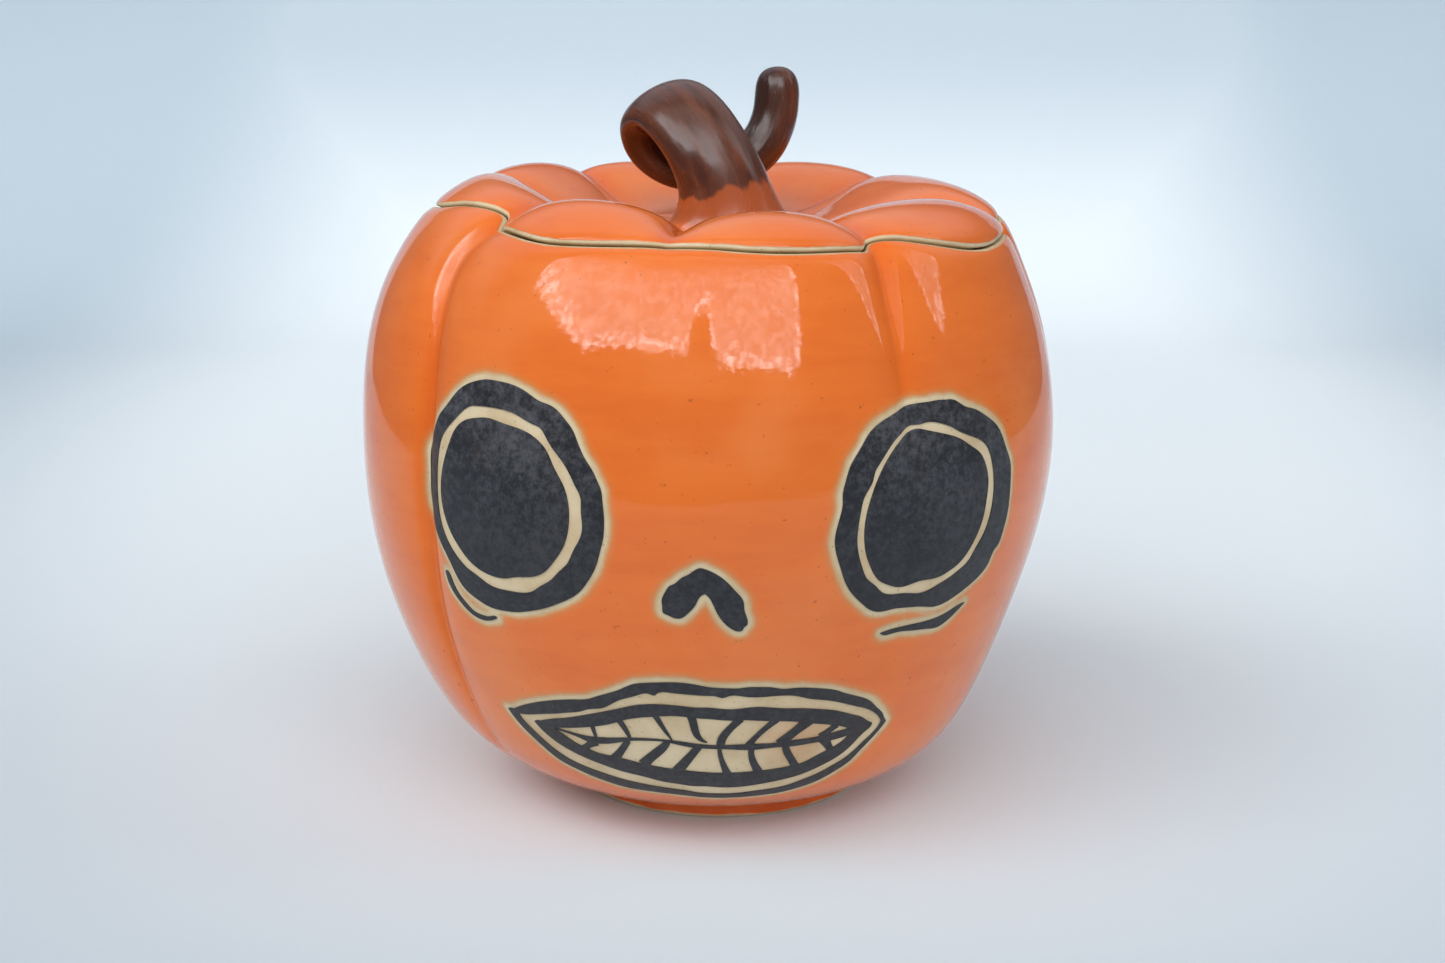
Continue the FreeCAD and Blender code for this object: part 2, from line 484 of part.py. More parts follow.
def flat_cap(face, height):
    """Flat face that closes the ring of a net face at a height."""
    edge = min((e for e in face.Edges if e.isClosed()),
               key=lambda e: abs(e.BoundBox.ZMin - height) + abs(e.BoundBox.ZMax - height))
    return Part.Face(Part.Wire([edge]))


def solid_from(faces):
    shell = Part.Shell(faces)
    shell.sewShape()
    solid = Part.Solid(shell)
    if solid.Volume < 0:
        solid.reverse()
    return solid


# ---------------------------------------------------------------- body, lid and foot

BODY_SHARES = [0.0, 0.02, 0.05, 0.085, 0.12, 0.17, 0.24, 0.32, 0.41, 0.5, 0.59, 0.68,
               0.77, 0.85, 0.91, 0.95, 0.975, 0.99, 1.0]
LID_SHARES = [0.0, 0.015, 0.035, 0.07, 0.13, 0.2, 0.27, 0.34, 0.41, 0.48, 0.56, 0.64,
              0.72, 0.8, 0.88, 0.95, 1.0]
INNER_BODY_SHARES = [0.0, 0.03, 0.08, 0.15, 0.25, 0.36, 0.48, 0.6, 0.72, 0.82, 0.9, 0.96,
                     1.0]
INNER_LID_SHARES = [0.0, 0.06, 0.14, 0.24, 0.34, 0.44, 0.54, 0.65, 0.76, 0.88, 1.0]
INNER_FOLD = 0.85


def body_outer_rows(lift=0.0):
    rows = skin_net(lambda c: 0.0, SEAM_LENGTH.get, BODY_SHARES, -lift, 1.0, "last")
    rows[0] = flat_row(BASE_RADIUS, FOOT_HEIGHT - lift)
    return rows


def jar_body():
    outer = body_outer_rows()
    inner_start = length_at_height(14.0)
    inner = skin_net(lambda c: inner_start, lambda c: SEAM_LENGTH[c] + SEAM_SLOPE_RUN,
                     INNER_BODY_SHARES, WALL, INNER_FOLD)
    floor_height = FOOT_HEIGHT + FLOOR
    inner = [flat_row(INNER_FLOOR_RADIUS, floor_height),
             flat_row(INNER_FLOOR_RADIUS + 8.0, floor_height + 0.6)] + inner
    outer_face = net_face(outer)
    inner_face = net_face(inner)
    rim_face = net_face([outer[-1], inner[-1]], 1)
    return solid_from([outer_face, inner_face, rim_face,
                       flat_cap(outer_face, FOOT_HEIGHT), flat_cap(inner_face, floor_height)])


def lid():
    outer = skin_net(LID_LENGTH.get, lambda c: TOTAL_LENGTH,
                     LID_SHARES, 0.0, 1.0, "first")
    inner = skin_net(lambda c: LID_LENGTH[c] + SEAM_SLOPE_RUN,
                     lambda c: TOTAL_LENGTH, INNER_LID_SHARES, WALL, INNER_FOLD)
    outer[-1] = flat_row(DISH_RADIUS, DISH_HEIGHT)
    inner[-1] = flat_row(DISH_RADIUS, DISH_HEIGHT - WALL)
    outer_face = net_face(outer)
    inner_face = net_face(inner)
    rim_face = net_face([outer[0], inner[0]], 1)
    return solid_from([outer_face, inner_face, rim_face,
                       flat_cap(outer_face, DISH_HEIGHT),
                       flat_cap(inner_face, DISH_HEIGHT - WALL)])


def foot_ring():
    ring = Part.makeCylinder(FOOT_OUTER, FOOT_HEIGHT).cut(
        Part.makeCylinder(FOOT_INNER, FOOT_HEIGHT))
    rims = [e for e in ring.Edges if e.isClosed() and e.BoundBox.ZMax < 0.01]
    return ring.makeFillet(FOOT_ROUNDING, rims)


def locating_flange(lid_solid):
    height = FLANGE_TOP - FLANGE_BOTTOM
    base = V(0, 0, FLANGE_BOTTOM)
    ring = Part.makeCylinder(FLANGE_OUTER, height, base).cut(
        Part.makeCylinder(FLANGE_OUTER - FLANGE_WALL, height, base))
    below = ring.cut(lid_solid)
    return min(below.Solids, key=lambda solid: solid.BoundBox.ZMin)


# ---------------------------------------------------------------- stem

STEM_LENGTH = running_length([station[:3] for station in STEM])
STEM_TABLES = [Table(list(zip(STEM_LENGTH, values)), k < 3)
               for k, values in enumerate(zip(*STEM))]


def stem_stations():
    """Centre, half width, half thickness and width direction of each ring of the coil."""
    count = round(STEM_LENGTH[-1] / STEM_STEP)
    stations = []
    for k in range(count + 1):
        values = [table.at(STEM_LENGTH[-1] * k / count) for table in STEM_TABLES]
        stations.append((V(*values[:3]), values[3], values[4], V(*values[5:])))
    last = stations[-1]
    tip = V(*STEM_TIP)
    for share, size in STEM_ENDING:
        centre = last[0] + (tip - last[0]) * share
        stations.append((centre, last[1] * size, last[2] * size, last[3]))
    return stations


def stem_rows():
    stations = stem_stations()
    grow = 3 / (2 + math.cos(2 * math.pi / STEM_ROUND))     # the curve runs inside its poles
    rows = []
    for i, (centre, width, thickness, across) in enumerate(stations):
        before = stations[max(i - 1, 0)][0]
        after = stations[min(i + 1, len(stations) - 1)][0]
        along = (after - before).normalize()
        across = (across - along * across.dot(along)).normalize()
        outwards = along.cross(across)
        ring = []
        for k in range(STEM_ROUND):
            angle = 2 * math.pi * k / STEM_ROUND
            ring.append(centre + across * (grow * width * math.cos(angle))
                        + outwards * (grow * thickness * math.sin(angle)))
        rows.append(ring)
    return rows


def stem_handle(lid_solid):
    rows = stem_rows()
    poles = [list(column) for column in zip(*rows)]
    spans = len(rows) - 3
    surface = Part.BSplineSurface()
    surface.buildFromPolesMultsKnots(
        poles, [1] * (STEM_ROUND + 1), [4] + [1] * (spans - 1) + [4],
        [float(k) for k in range(STEM_ROUND + 1)], [float(k) for k in range(spans + 1)],
        True, False, 3, 3)
    side = surface.toShape()
    rings = [e for e in side.Edges if e.isClosed() and e.BoundBox.DiagonalLength < 60]
    caps = [Part.Face(Part.Wire([ring])) for ring in rings]
    coil = solid_from([side] + caps)
    above = coil.cut(lid_solid)
    return max(above.Solids, key=lambda solid: solid.BoundBox.ZMax)


# ---------------------------------------------------------------- painted slip

def view_axes(view):
    """The directions across and out of the body, for a view azimuth."""
    turn = math.radians(view)
    return V(math.cos(turn), math.sin(turn), 0), V(math.sin(turn), -math.cos(turn), 0)


def painted_point(point, view):
    across, out = view_axes(view)
    return across * point[0] + out * PRISM_START + V(0, 0, point[1])


def curve_edge(points, closed=False):
    curve = Part.BSplineCurve()
    curve.interpolate(Points=points, PeriodicFlag=closed)
    return curve.toShape()


def prism(runs, view):
    """An outline, pushed out through the body along its view."""
    closed = len(runs) == 1 and runs[0][0] != runs[0][-1]
    edges = [curve_edge([painted_point(point, view) for point in run], closed) for run in runs]
    return Part.Face(Part.Wire(edges)).extrude(view_axes(view)[1] * PRISM_LENGTH)


def stroke_prism(stroke, view):
    """A brush stroke with a width at each point, pushed out through the body."""
    out = view_axes(view)[1]
    centres = [painted_point(point, view) for point in stroke]
    left, right = [], []
    for i, (centre, point) in enumerate(zip(centres, stroke)):
        along = centres[min(i + 1, len(centres) - 1)] - centres[max(i - 1, 0)]
        across = along.normalize().cross(out) * (point[2] / 2)
        left.append(centre + across)
        right.append(centre - across)
    edges = [curve_edge(left), Part.makeLine(left[-1], right[-1]),
             curve_edge(right[::-1]), Part.makeLine(right[0], left[0])]
    return Part.Face(Part.Wire(edges)).extrude(out * PRISM_LENGTH)


def slip_skin():
    """The thin layer over the whole outside of the body that slip is cut from."""
    inner_rows = body_outer_rows()
    outer_rows = body_outer_rows(SLIP)
    inner = net_face(inner_rows)
    outer = net_face(outer_rows)
    top = net_face([inner_rows[-1], outer_rows[-1]], 1)
    bottom = net_face([inner_rows[0], outer_rows[0]], 1)
    return solid_from([inner, outer, top, bottom])


def painted(skin, shape):
    """The solid pieces of slip where a prism meets the outside of the body."""
    pieces = [s for s in shape.common(skin).Solids if s.Volume > 0.05]
    return pieces[0] if len(pieces) == 1 else Part.makeCompound(pieces)


def face_nodes(skin):
    nodes = {}
    left_outer = prism(LEFT_EYE_OUTER, LEFT_EYE_VIEW)
    left_inner = prism(LEFT_EYE_INNER, LEFT_EYE_VIEW)
    nodes["left_eye_ring"] = painted(skin, left_outer.cut(left_inner))
    nodes["left_eye_pupil"] = painted(skin, prism(LEFT_PUPIL, LEFT_EYE_VIEW))
    nodes["left_eye_underline"] = painted(skin, prism(LEFT_UNDERLINE, LEFT_EYE_VIEW))
    right_outer = prism(RIGHT_EYE_OUTER, RIGHT_EYE_VIEW)
    right_inner = prism(RIGHT_EYE_INNER, RIGHT_EYE_VIEW)
    nodes["right_eye_ring"] = painted(skin, right_outer.cut(right_inner))
    nodes["right_eye_pupil"] = painted(skin, prism(RIGHT_PUPIL, RIGHT_EYE_VIEW))
    nodes["right_eye_underline"] = painted(skin, prism(RIGHT_UNDERLINE, RIGHT_EYE_VIEW))
    nodes["nose_mark"] = painted(skin, prism(NOSE, MOUTH_VIEW))
    lip = prism(MOUTH_OUTSIDE, MOUTH_VIEW).cut(prism(MOUTH_INSIDE, MOUTH_VIEW))
    nodes["mouth_outer_line"] = painted(skin, lip)
    gap = prism(BAND_INSIDE, MOUTH_VIEW)
    band = prism(BAND_OUTSIDE, MOUTH_VIEW).cut(gap)
    nodes["mouth_inner_band"] = painted(skin, band)
    bite = stroke_prism(BITE_LINE, MOUTH_VIEW)
    nodes["bite_line"] = painted(skin, bite.common(gap))
    strokes = [stroke_prism(tooth, MOUTH_VIEW).cut(bite).common(gap) for tooth in TEETH]
    nodes["tooth_lines"] = Part.makeCompound(
        [piece for stroke in strokes for piece in painted(skin, stroke).Solids])
    return nodes


# ---------------------------------------------------------------- the whole jar

def main():
    os.makedirs("parts", exist_ok=True)
    lid_solid = lid()
    nodes = {
        "jar_body": jar_body(),
        "foot_ring": foot_ring(),
        "lid": lid_solid,
        "lid_locating_flange": locating_flange(lid_solid),
        "stem_handle": stem_handle(lid_solid),
    }
    nodes.update(face_nodes(slip_skin()))
    for name, shape in nodes.items():
        shape.exportStep("parts/" + name + ".step")
        box = shape.BoundBox
        print(name, "solids", len(shape.Solids), "valid", shape.isValid(),
              "volume %.1f" % shape.Volume, "z %.2f to %.2f" % (box.ZMin, box.ZMax))


main()
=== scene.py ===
"""The looks of a lidded stoneware jar in the shape of a squat pumpkin with a painted skull face.

The clay surfaces are the jar's own B-spline surfaces, drawn finer than the CAD mesh, with
rounded cut edges. The painted slip keeps its CAD solids. The shape tables are in millimetres
and degrees, like the CAD's, and every mesh is made in metres. Azimuths are degrees from -Y,
positive towards +X.
"""
import json
import math

import bpy
import numpy as np
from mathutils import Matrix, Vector
from mathutils.bvhtree import BVHTree


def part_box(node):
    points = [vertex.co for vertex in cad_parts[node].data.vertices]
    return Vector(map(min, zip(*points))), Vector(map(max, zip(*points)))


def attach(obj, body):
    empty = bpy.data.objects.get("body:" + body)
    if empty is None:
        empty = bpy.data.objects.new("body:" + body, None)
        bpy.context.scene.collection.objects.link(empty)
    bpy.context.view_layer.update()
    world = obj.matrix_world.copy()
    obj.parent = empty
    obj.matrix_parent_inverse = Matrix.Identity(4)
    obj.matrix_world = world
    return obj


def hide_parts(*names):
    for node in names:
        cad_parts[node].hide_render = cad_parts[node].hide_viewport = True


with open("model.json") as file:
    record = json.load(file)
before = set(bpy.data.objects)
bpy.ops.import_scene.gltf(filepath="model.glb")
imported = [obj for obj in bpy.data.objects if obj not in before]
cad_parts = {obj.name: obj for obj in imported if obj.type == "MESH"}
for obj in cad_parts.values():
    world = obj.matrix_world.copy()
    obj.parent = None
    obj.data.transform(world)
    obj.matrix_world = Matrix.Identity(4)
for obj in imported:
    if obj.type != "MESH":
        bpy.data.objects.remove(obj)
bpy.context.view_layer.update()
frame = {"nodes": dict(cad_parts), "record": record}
MM = 0.001

# ---------------------------------------------------------------- shape tables

WALL = 6.0
FLOOR = 7.0
FOOT_HEIGHT = 5.5
BASE_RADIUS = 47.0
INNER_FLOOR_RADIUS = 44.0
SEAM_GAP = 0.7
STEP_GAP = 0.35
SEAM_SLOPE_RUN = 2.5
EDGE_REACH = 2.2
EDGE_DROP = 0.7
DISH_RADIUS = 8.0
DISH_HEIGHT = 165.0
INNER_FOLD = 0.85

PROFILE = [
    (47.0, 5.5), (52.0, 6.9), (57.0, 8.8), (62.2, 11.4), (67.4, 14.5), (72.0, 18.0),
    (76.3, 22.2), (83.6, 35.4), (90.9, 53.2), (96.5, 71.0), (100.2, 88.7),
    (101.5, 106.4), (100.4, 124.2), (96.8, 141.9), (91.0, 156.1), (85.0, 166.7),
    (79.6, 172.2), (72.0, 176.3), (64.5, 178.0), (57.0, 177.0), (49.0, 173.8),
    (41.0, 170.3), (32.0, 167.5), (22.0, 165.8), (14.0, 165.1), (8.0, 165.0),
]
LEAN = [
    (5.5, 0.0), (9.0, -0.8), (13.0, -1.8), (20.0, -3.2), (30.0, -4.3), (42.0, -4.9),
    (60.0, -5.0), (80.0, -4.2), (100.0, -3.3), (118.0, -3.1), (135.0, -3.6),
    (150.0, -3.6), (163.0, -2.4), (172.0, -1.4), (180.0, -0.8),
]
SEAM = [
    (-180.0, 168.6), (-150.0, 169.6), (-120.0, 169.0), (-95.0, 170.0), (-75.0, 171.8),
    (-66.0, 173.6), (-58.0, 175.0), (-51.5, 175.8), (-50.3, 173.4), (-47.5, 172.3),
    (-42.0, 170.7), (-36.0, 169.3), (-30.0, 168.3), (-20.0, 168.6), (-10.0, 169.1),
    (0.0, 168.8), (8.0, 167.8), (16.0, 167.6), (24.0, 168.0), (28.9, 168.8),
    (31.4, 172.4), (34.5, 171.2), (40.0, 168.8), (46.0, 166.7), (53.0, 164.7),
    (60.0, 164.0), (67.0, 164.8), (76.0, 166.0), (82.0, 166.0), (84.6, 168.4),
    (110.0, 168.4), (140.0, 167.2), (180.0, 168.6),
]
# azimuth, then depth low on the body, at half height, at the cut and at the lid's crest
CREASES = [
    (-49.6, 2.6, 4.6, 5.4, 6.0), (-8.0, 0.0, 0.0, 0.3, 7.5), (30.9, 0.4, 1.0, 4.2, 6.2),
    (82.0, 1.0, 2.0, 3.6, 6.0), (133.0, 0.5, 1.2, 2.6, 4.2), (180.0, 2.0, 3.4, 4.2, 6.0),
    (221.0, 0.5, 1.4, 3.0, 5.0), (260.0, 1.2, 2.4, 3.4, 5.0),
]
CREASE_HEIGHTS = (10.0, 40.0, 110.0, 166.0)
CREASE_FADE = ((48.0, 0.8), (32.0, 0.35), (20.0, 0.0))
GROOVE_TURN = [
    (30.0, -2.0), (60.0, -1.0), (100.0, 0.5), (137.0, 0.4), (150.0, -1.6), (160.0, -4.2),
    (166.0, -3.6), (172.0, 0.0),
]
GROOVE_TURN_WIDTH = 14.0
FOLD_SOFT, FOLD_REACH = 1.0, 3.2
FOLD_SHARE_BODY, FOLD_SHARE_LID = 0.6, 0.4
HOLLOW_SOFT = 4.0
HOLLOW_REACH_BODY, HOLLOW_REACH_LID = 13.0, 8.5
LID_SHARE_RADIUS, LID_SHARE_WIDTH = 90.0, 20.0
SHOULDER_HEIGHT = 155.0
CREST_WIDTH = 15.0
NORMAL_STEP = 1.5
LOBE_LIFT = [
    (-180.0, 0.0), (-160.0, 1.2), (-120.0, 3.2), (-90.0, 3.4), (-72.0, 2.6), (-48.0, 1.0),
    (-28.0, 0.6), (10.0, -1.4), (58.0, -2.0), (110.0, -1.0), (157.0, 1.0), (180.0, 0.0),
]
FINE_OFFSETS = [0.5, 1.2, 2.0, 3.2, 5.2, 8.0]
FILL_SPACING = 4.6

BODY_SHARES = [0.0, 0.02, 0.05, 0.085, 0.12, 0.17, 0.24, 0.32, 0.41, 0.5, 0.59, 0.68,
               0.77, 0.85, 0.91, 0.95, 0.975, 0.99, 1.0]
LID_SHARES = [0.0, 0.015, 0.035, 0.07, 0.13, 0.2, 0.27, 0.34, 0.41, 0.48, 0.56, 0.64,
              0.72, 0.8, 0.88, 0.95, 1.0]
INNER_BODY_SHARES = [0.0, 0.03, 0.08, 0.15, 0.25, 0.36, 0.48, 0.6, 0.72, 0.82, 0.9, 0.96,
                     1.0]
INNER_LID_SHARES = [0.0, 0.06, 0.14, 0.24, 0.34, 0.44, 0.54, 0.65, 0.76, 0.88, 1.0]

# centre x, y, z, half width, half thickness, direction of the width
STEM = [
    (2.5, -4.0, 158.0, 15.5, 11.0, 0.95, 0.15, 0.10),
    (2.4, -6.5, 168.0, 14.4, 10.0, 0.92, 0.25, 0.20),
    (0.6, -8.0, 178.0, 12.8, 8.5, 0.85, 0.33, 0.33),
    (-3.8, -8.0, 187.5, 12.1, 7.0, 0.80, 0.40, 0.43),
    (-9.8, -4.0, 195.6, 11.8, 6.0, 0.80, 0.40, 0.43),
    (-15.8, 3.5, 199.0, 11.3, 5.8, 0.80, 0.40, 0.43),
    (-20.0, 10.0, 195.6, 10.6, 5.5, 0.80, 0.40, 0.43),
    (-19.6, 14.0, 188.6, 9.6, 5.3, 0.80, 0.40, 0.43),
    (-13.5, 16.6, 182.6, 8.8, 5.5, 0.75, 0.40, 0.50),
    (-5.0, 18.0, 180.6, 8.1, 6.0, 0.50, 0.40, 0.70),
    (4.0, 19.7, 181.0, 7.4, 6.5, 0.10, 0.50, 0.80),
    (11.8, 22.0, 185.6, 6.9, 6.7, -0.40, 0.60, 0.60),
    (16.0, 24.0, 194.0, 6.7, 6.7, -0.60, 0.60, 0.30),
    (16.9, 25.0, 202.2, 6.6, 6.6, -0.70, 0.60, 0.20),
]
STEM_TIP = (16.4, 25.2, 208.8)
STEM_ENDING = ((0.45, 0.92), (0.8, 0.7), (0.97, 0.4), (1.0, 0.12))
STEM_STEP = 3.0
STEM_ROUND = 24

# ---------------------------------------------------------------- sizes of the drawn meshes

FRONT_AZIMUTHS = (-64.0, 74.0)      # the painted side, drawn finest
FRONT_SPACING = 1.0                 # mm between mesh columns there
BACK_SPACING = 3.2
ROW_SPACING = 1.08
INNER_ROW_SPACING = 4.5
LID_SPACING = 1.5
LID_ROW_SPACING = 1.3
CORNER = 0.8                        # the cut's corners are rounded over this
CORNER_CLEAR = 1.2 * CORNER         # and rows nearer to an edge than this are left out
CORNER_STEPS = 5
RIM_STEPS = 7
INNER_START_HEIGHT = 14.0           # where the wall inside leaves the floor's bend
INNER_BEND = (8.0, 0.6)             # the bend's own ring is this far out and this far up
UNDER_RADII = (3.0, 20.0, 34.0, 42.0)
FLOOR_RADII = (30.0, 15.0, 3.0)
LID_CENTRE_RADIUS = 3.0
PAINTED_AZIMUTHS = (-80.0, 90.0)    # the slip lies between these azimuths
PAINTED_HEIGHTS = (12.0, 145.0)     # and these heights,
SLIP_LIMIT = 12.0                   # and distances from it are measured up to here
POOL_DEPTH = 6.0                    # a crease this deep holds the most glaze
POOL_REACH = 4.0

SLIP_NODES = [name for name in frame["record"]["behaviour"]["bodies"]["jar"]
              if name not in ("jar_body", "foot_ring")]
# the marks with bare clay, not glaze, all round them
ENCLOSED_NODES = ["left_eye_pupil", "right_eye_pupil", "mouth_inner_band", "bite_line",
                  "tooth_lines"]

# ---------------------------------------------------------------- tables and profile

class Table:
    """A smooth curve through given points: without overshoot, or free to swing past."""

    def __init__(self, points, free=False):
        self.x = np.array([p[0] for p in points], float)
        self.y = np.array([p[1] for p in points], float)
        steps = np.diff(self.y) / np.diff(self.x)
        a, b = steps[:-1], steps[1:]
        if free:
            inner = (a + b) / 2
        else:
            inner = np.where(a * b > 0, 2 * a * b / np.where(a + b == 0, 1, a + b), 0.0)
        self.slopes = np.r_[steps[0], inner, steps[-1]]

    def at(self, x):
        x = np.clip(x, self.x[0], self.x[-1])
        i = np.clip(np.searchsorted(self.x, x, side="right") - 1, 0, len(self.x) - 2)
        h = self.x[i + 1] - self.x[i]
        t = (x - self.x[i]) / h
        start = self.y[i] * (1 + 2 * t) + self.slopes[i] * h * t
        end = self.y[i + 1] * (3 - 2 * t) - self.slopes[i + 1] * h * (1 - t)
        return start * (1 - t) ** 2 + end * t * t


def running_length(points):
    """Distance along a line of points, from its first to each of them."""
    steps = np.diff(np.array(points, float), axis=0)
    return np.r_[0.0, np.cumsum(np.linalg.norm(steps, axis=1))]


HALVINGS = 36
PROFILE_LENGTH = running_length(PROFILE)
PROFILE_R = Table([(s, p[0]) for s, p in zip(PROFILE_LENGTH, PROFILE)])
PROFILE_Z = Table([(s, p[1]) for s, p in zip(PROFILE_LENGTH, PROFILE)])
TOTAL_LENGTH = PROFILE_LENGTH[-1]
CREST = max(range(len(PROFILE)), key=lambda i: PROFILE[i][1])
CREST_LENGTH = PROFILE_LENGTH[CREST]
CREST_RADIUS = PROFILE[CREST][0]


def profile_normal(s):
    """The direction out of the clay, as radius and height, at distances along the profile."""
    below = np.maximum(s - NORMAL_STEP, 0.0)
    above = np.minimum(s + NORMAL_STEP, TOTAL_LENGTH)
    dr = PROFILE_R.at(above) - PROFILE_R.at(below)
    dz = PROFILE_Z.at(above) - PROFILE_Z.at(below)
    length = np.hypot(dr, dz)
    return dz / length, -dr / length


def halve(test, low, high):
    """The points between low and high where a test turns false."""
    for _ in range(HALVINGS):
        middle = (low + high) / 2
        passed = test(middle)
        low = np.where(passed, middle, low)
        high = np.where(passed, high, middle)
    return (low + high) / 2


def length_at_height(z):
    """Distance along the profile of a height on its outer side."""
    z = np.asarray(z, float)
    return halve(lambda s: PROFILE_Z.at(s) < z, np.zeros_like(z), np.full_like(z, CREST_LENGTH))


def length_at_radius(r):
    """Distance along the profile of a radius on the lid."""
    r = np.asarray(r, float)
    return halve(lambda s: PROFILE_R.at(s) > r, np.full_like(r, CREST_LENGTH),
                 np.full_like(r, TOTAL_LENGTH))


def turn_between(a, b):
    """The turn in degrees from azimuth b to azimuth a, between -180 and 180."""
    return (a - b + 180.0) % 360.0 - 180.0


# ---------------------------------------------------------------- the clay surface

def crease_table(crease):
    """A crease's depth by distance along the profile."""
    _, low, middle, top, crest = crease
    body = [(float(length_at_height(z)), depth) for z, depth in
            zip(CREASE_HEIGHTS, (0.0, low, middle, top))]
    inwards = [(float(length_at_radius(r)), share * crest) for r, share in CREASE_FADE]
    return Table([(0.0, 0.0)] + body + [(CREST_LENGTH, crest)] + inwards)


CREASE_TABLES = [crease_table(crease) for crease in CREASES]
SEAM_TABLE, LOBE_TABLE, LEAN_TABLE = Table(SEAM), Table(LOBE_LIFT), Table(LEAN)
GROOVE_TABLE = Table(GROOVE_TURN)


def crease_shape(distance, lid_share):
    """A crease's section: a narrow fold in a broad hollow, by distance from its middle."""
    narrow = np.exp(-(np.hypot(distance, FOLD_SOFT) - FOLD_SOFT) / FOLD_REACH)
    reach = HOLLOW_REACH_BODY + (HOLLOW_REACH_LID - HOLLOW_REACH_BODY) * lid_share
    broad = np.exp(-(np.hypot(distance, HOLLOW_SOFT) - HOLLOW_SOFT) / reach)
    narrow_share = FOLD_SHARE_BODY + (FOLD_SHARE_LID - FOLD_SHARE_BODY) * lid_share
    return narrow_share * narrow + (1 - narrow_share) * broad


def net_columns():
    """Azimuths of the control net: close together at every crease."""
    marks = []
    for crease in CREASES:
        marks.append(crease[0])
        for offset in FINE_OFFSETS:
            marks += [crease[0] - offset, crease[0] + offset]
    marks = sorted((m + 180.0) % 360.0 - 180.0 for m in marks)
    columns = []
    for a, b in zip(marks, marks[1:] + [marks[0] + 360.0]):
        pieces = max(1, math.ceil((b - a) / FILL_SPACING))
        columns += [a + (b - a) * k / pieces for k in range(pieces)]
    return np.array(columns)


def seam_length(columns):
    """Distance along the profile of the cut between the jar and its lid."""
    return length_at_height(SEAM_TABLE.at(turn_between(columns, 0.0)))


COLUMNS = net_columns()
SEAM_LENGTH = seam_length(COLUMNS)
LID_LENGTH = SEAM_GAP + np.max([seam_length(COLUMNS + side) for side in
                                (-STEP_GAP, 0.0, STEP_GAP)], axis=0)


def skin_points(s, inset, fold):
    """Points of the clay surface for every row and column of distances s."""
    r, z = PROFILE_R.at(s), PROFILE_Z.at(s)
    nr, nz = profile_normal(s)
    above = z > SHOULDER_HEIGHT
    lid_share = np.where(above, np.clip((LID_SHARE_RADIUS - r) / LID_SHARE_WIDTH, 0, 1), 0.0)
    crest_share = np.where(above, np.exp(-((r - CREST_RADIUS) / CREST_WIDTH) ** 2), 0.0)
    depth = np.zeros_like(s)
    for crease, table in zip(CREASES, CREASE_TABLES):
        distance = r * np.radians(turn_between(COLUMNS, crease[0]))
        depth += table.at(s) * crease_shape(distance, lid_share)
    sunk = inset + depth * fold
    away = turn_between(COLUMNS, CREASES[0][0])
    drift = GROOVE_TABLE.at(z) * np.exp(-(away / GROOVE_TURN_WIDTH) ** 2)
    angle = np.radians(COLUMNS + drift)
    radius = r - nr * sunk
    height = z - nz * sunk + LOBE_TABLE.at(turn_between(COLUMNS, 0.0)) * crest_share
    return np.stack([LEAN_TABLE.at(z) + radius * np.sin(angle), -radius * np.cos(angle),
                     height], -1)


def skin_net(first, last, shares, inset=0.0, fold=1.0, rounded=None):
    """Rows of poles between two edges, eased inwards at the edge that is cut."""
    s = first + (last - first) * np.array(shares)[:, None]
    to_cut = {"first": s - first, "last": last - s, None: np.full_like(s, EDGE_REACH)}[rounded]
    ease = np.maximum(0.0, 1 - to_cut / EDGE_REACH)
    return skin_points(s, inset + EDGE_DROP * ease ** 2, fold)


def ring(radius, height, azimuths=COLUMNS):
    """A level circle of points."""
    angle = np.radians(azimuths)
    return np.stack([radius * np.sin(angle), -radius * np.cos(angle),
                     np.full(len(angle), float(height))], -1)


# ---------------------------------------------------------------- B-spline surfaces

def clamped_basis(count, v):
    """Weights of the poles of a clamped uniform cubic, for parameters 0 to count - 3."""
    spans = count - 3
    knots = np.r_[[0.0] * 3, np.arange(spans + 1.0), [float(spans)] * 3]
    v = np.clip(v, 0, spans - 1e-9)[:, None]
    weights = ((v >= knots[:-1]) & (v < knots[1:])).astype(float)
    for degree in range(1, 4):
        left, right = knots[:-1 - degree], knots[1 + degree:]
        up = np.where(knots[degree:-1] > left, knots[degree:-1] - left, 1)
        down = np.where(right > knots[1:-degree], right - knots[1:-degree], 1)
        weights = (v - left) / up * weights[:, :-1] + (right - v) / down * weights[:, 1:]
    return weights


def periodic_basis(count, u):
    """Weights of the poles of a closed uniform cubic."""
    first = np.floor(u).astype(int)
    t = u - first
    weights = np.zeros((len(u), count))
    parts = ((1 - t) ** 3 / 6, (3 * t ** 3 - 6 * t ** 2 + 4) / 6,
             (-3 * t ** 3 + 3 * t ** 2 + 3 * t + 1) / 6, t ** 3 / 6)
    for k, part in enumerate(parts):
        np.add.at(weights, (np.arange(len(u)), (first - 1 + k) % count), part)
    return weights


SAMPLES_PER_SPAN = 60
COLUMNS_PER_SAMPLE = 12


def even_parameters(net, spacing):
    """Parameters along the rows of a net, evenly spaced on its surface."""
    spans = len(net) - 3
    fine = np.linspace(0, spans, SAMPLES_PER_SPAN * spans)
    lines = np.einsum("vr,rcx->cvx", clamped_basis(len(net), fine), net[:, ::COLUMNS_PER_SAMPLE])
    steps = np.linalg.norm(np.diff(lines, axis=1), axis=2).mean(axis=0)
    length = np.r_[0.0, np.cumsum(steps)]
    count = max(2, round(length[-1] / spacing))
    return np.interp(np.linspace(0, length[-1], count + 1), length, fine)


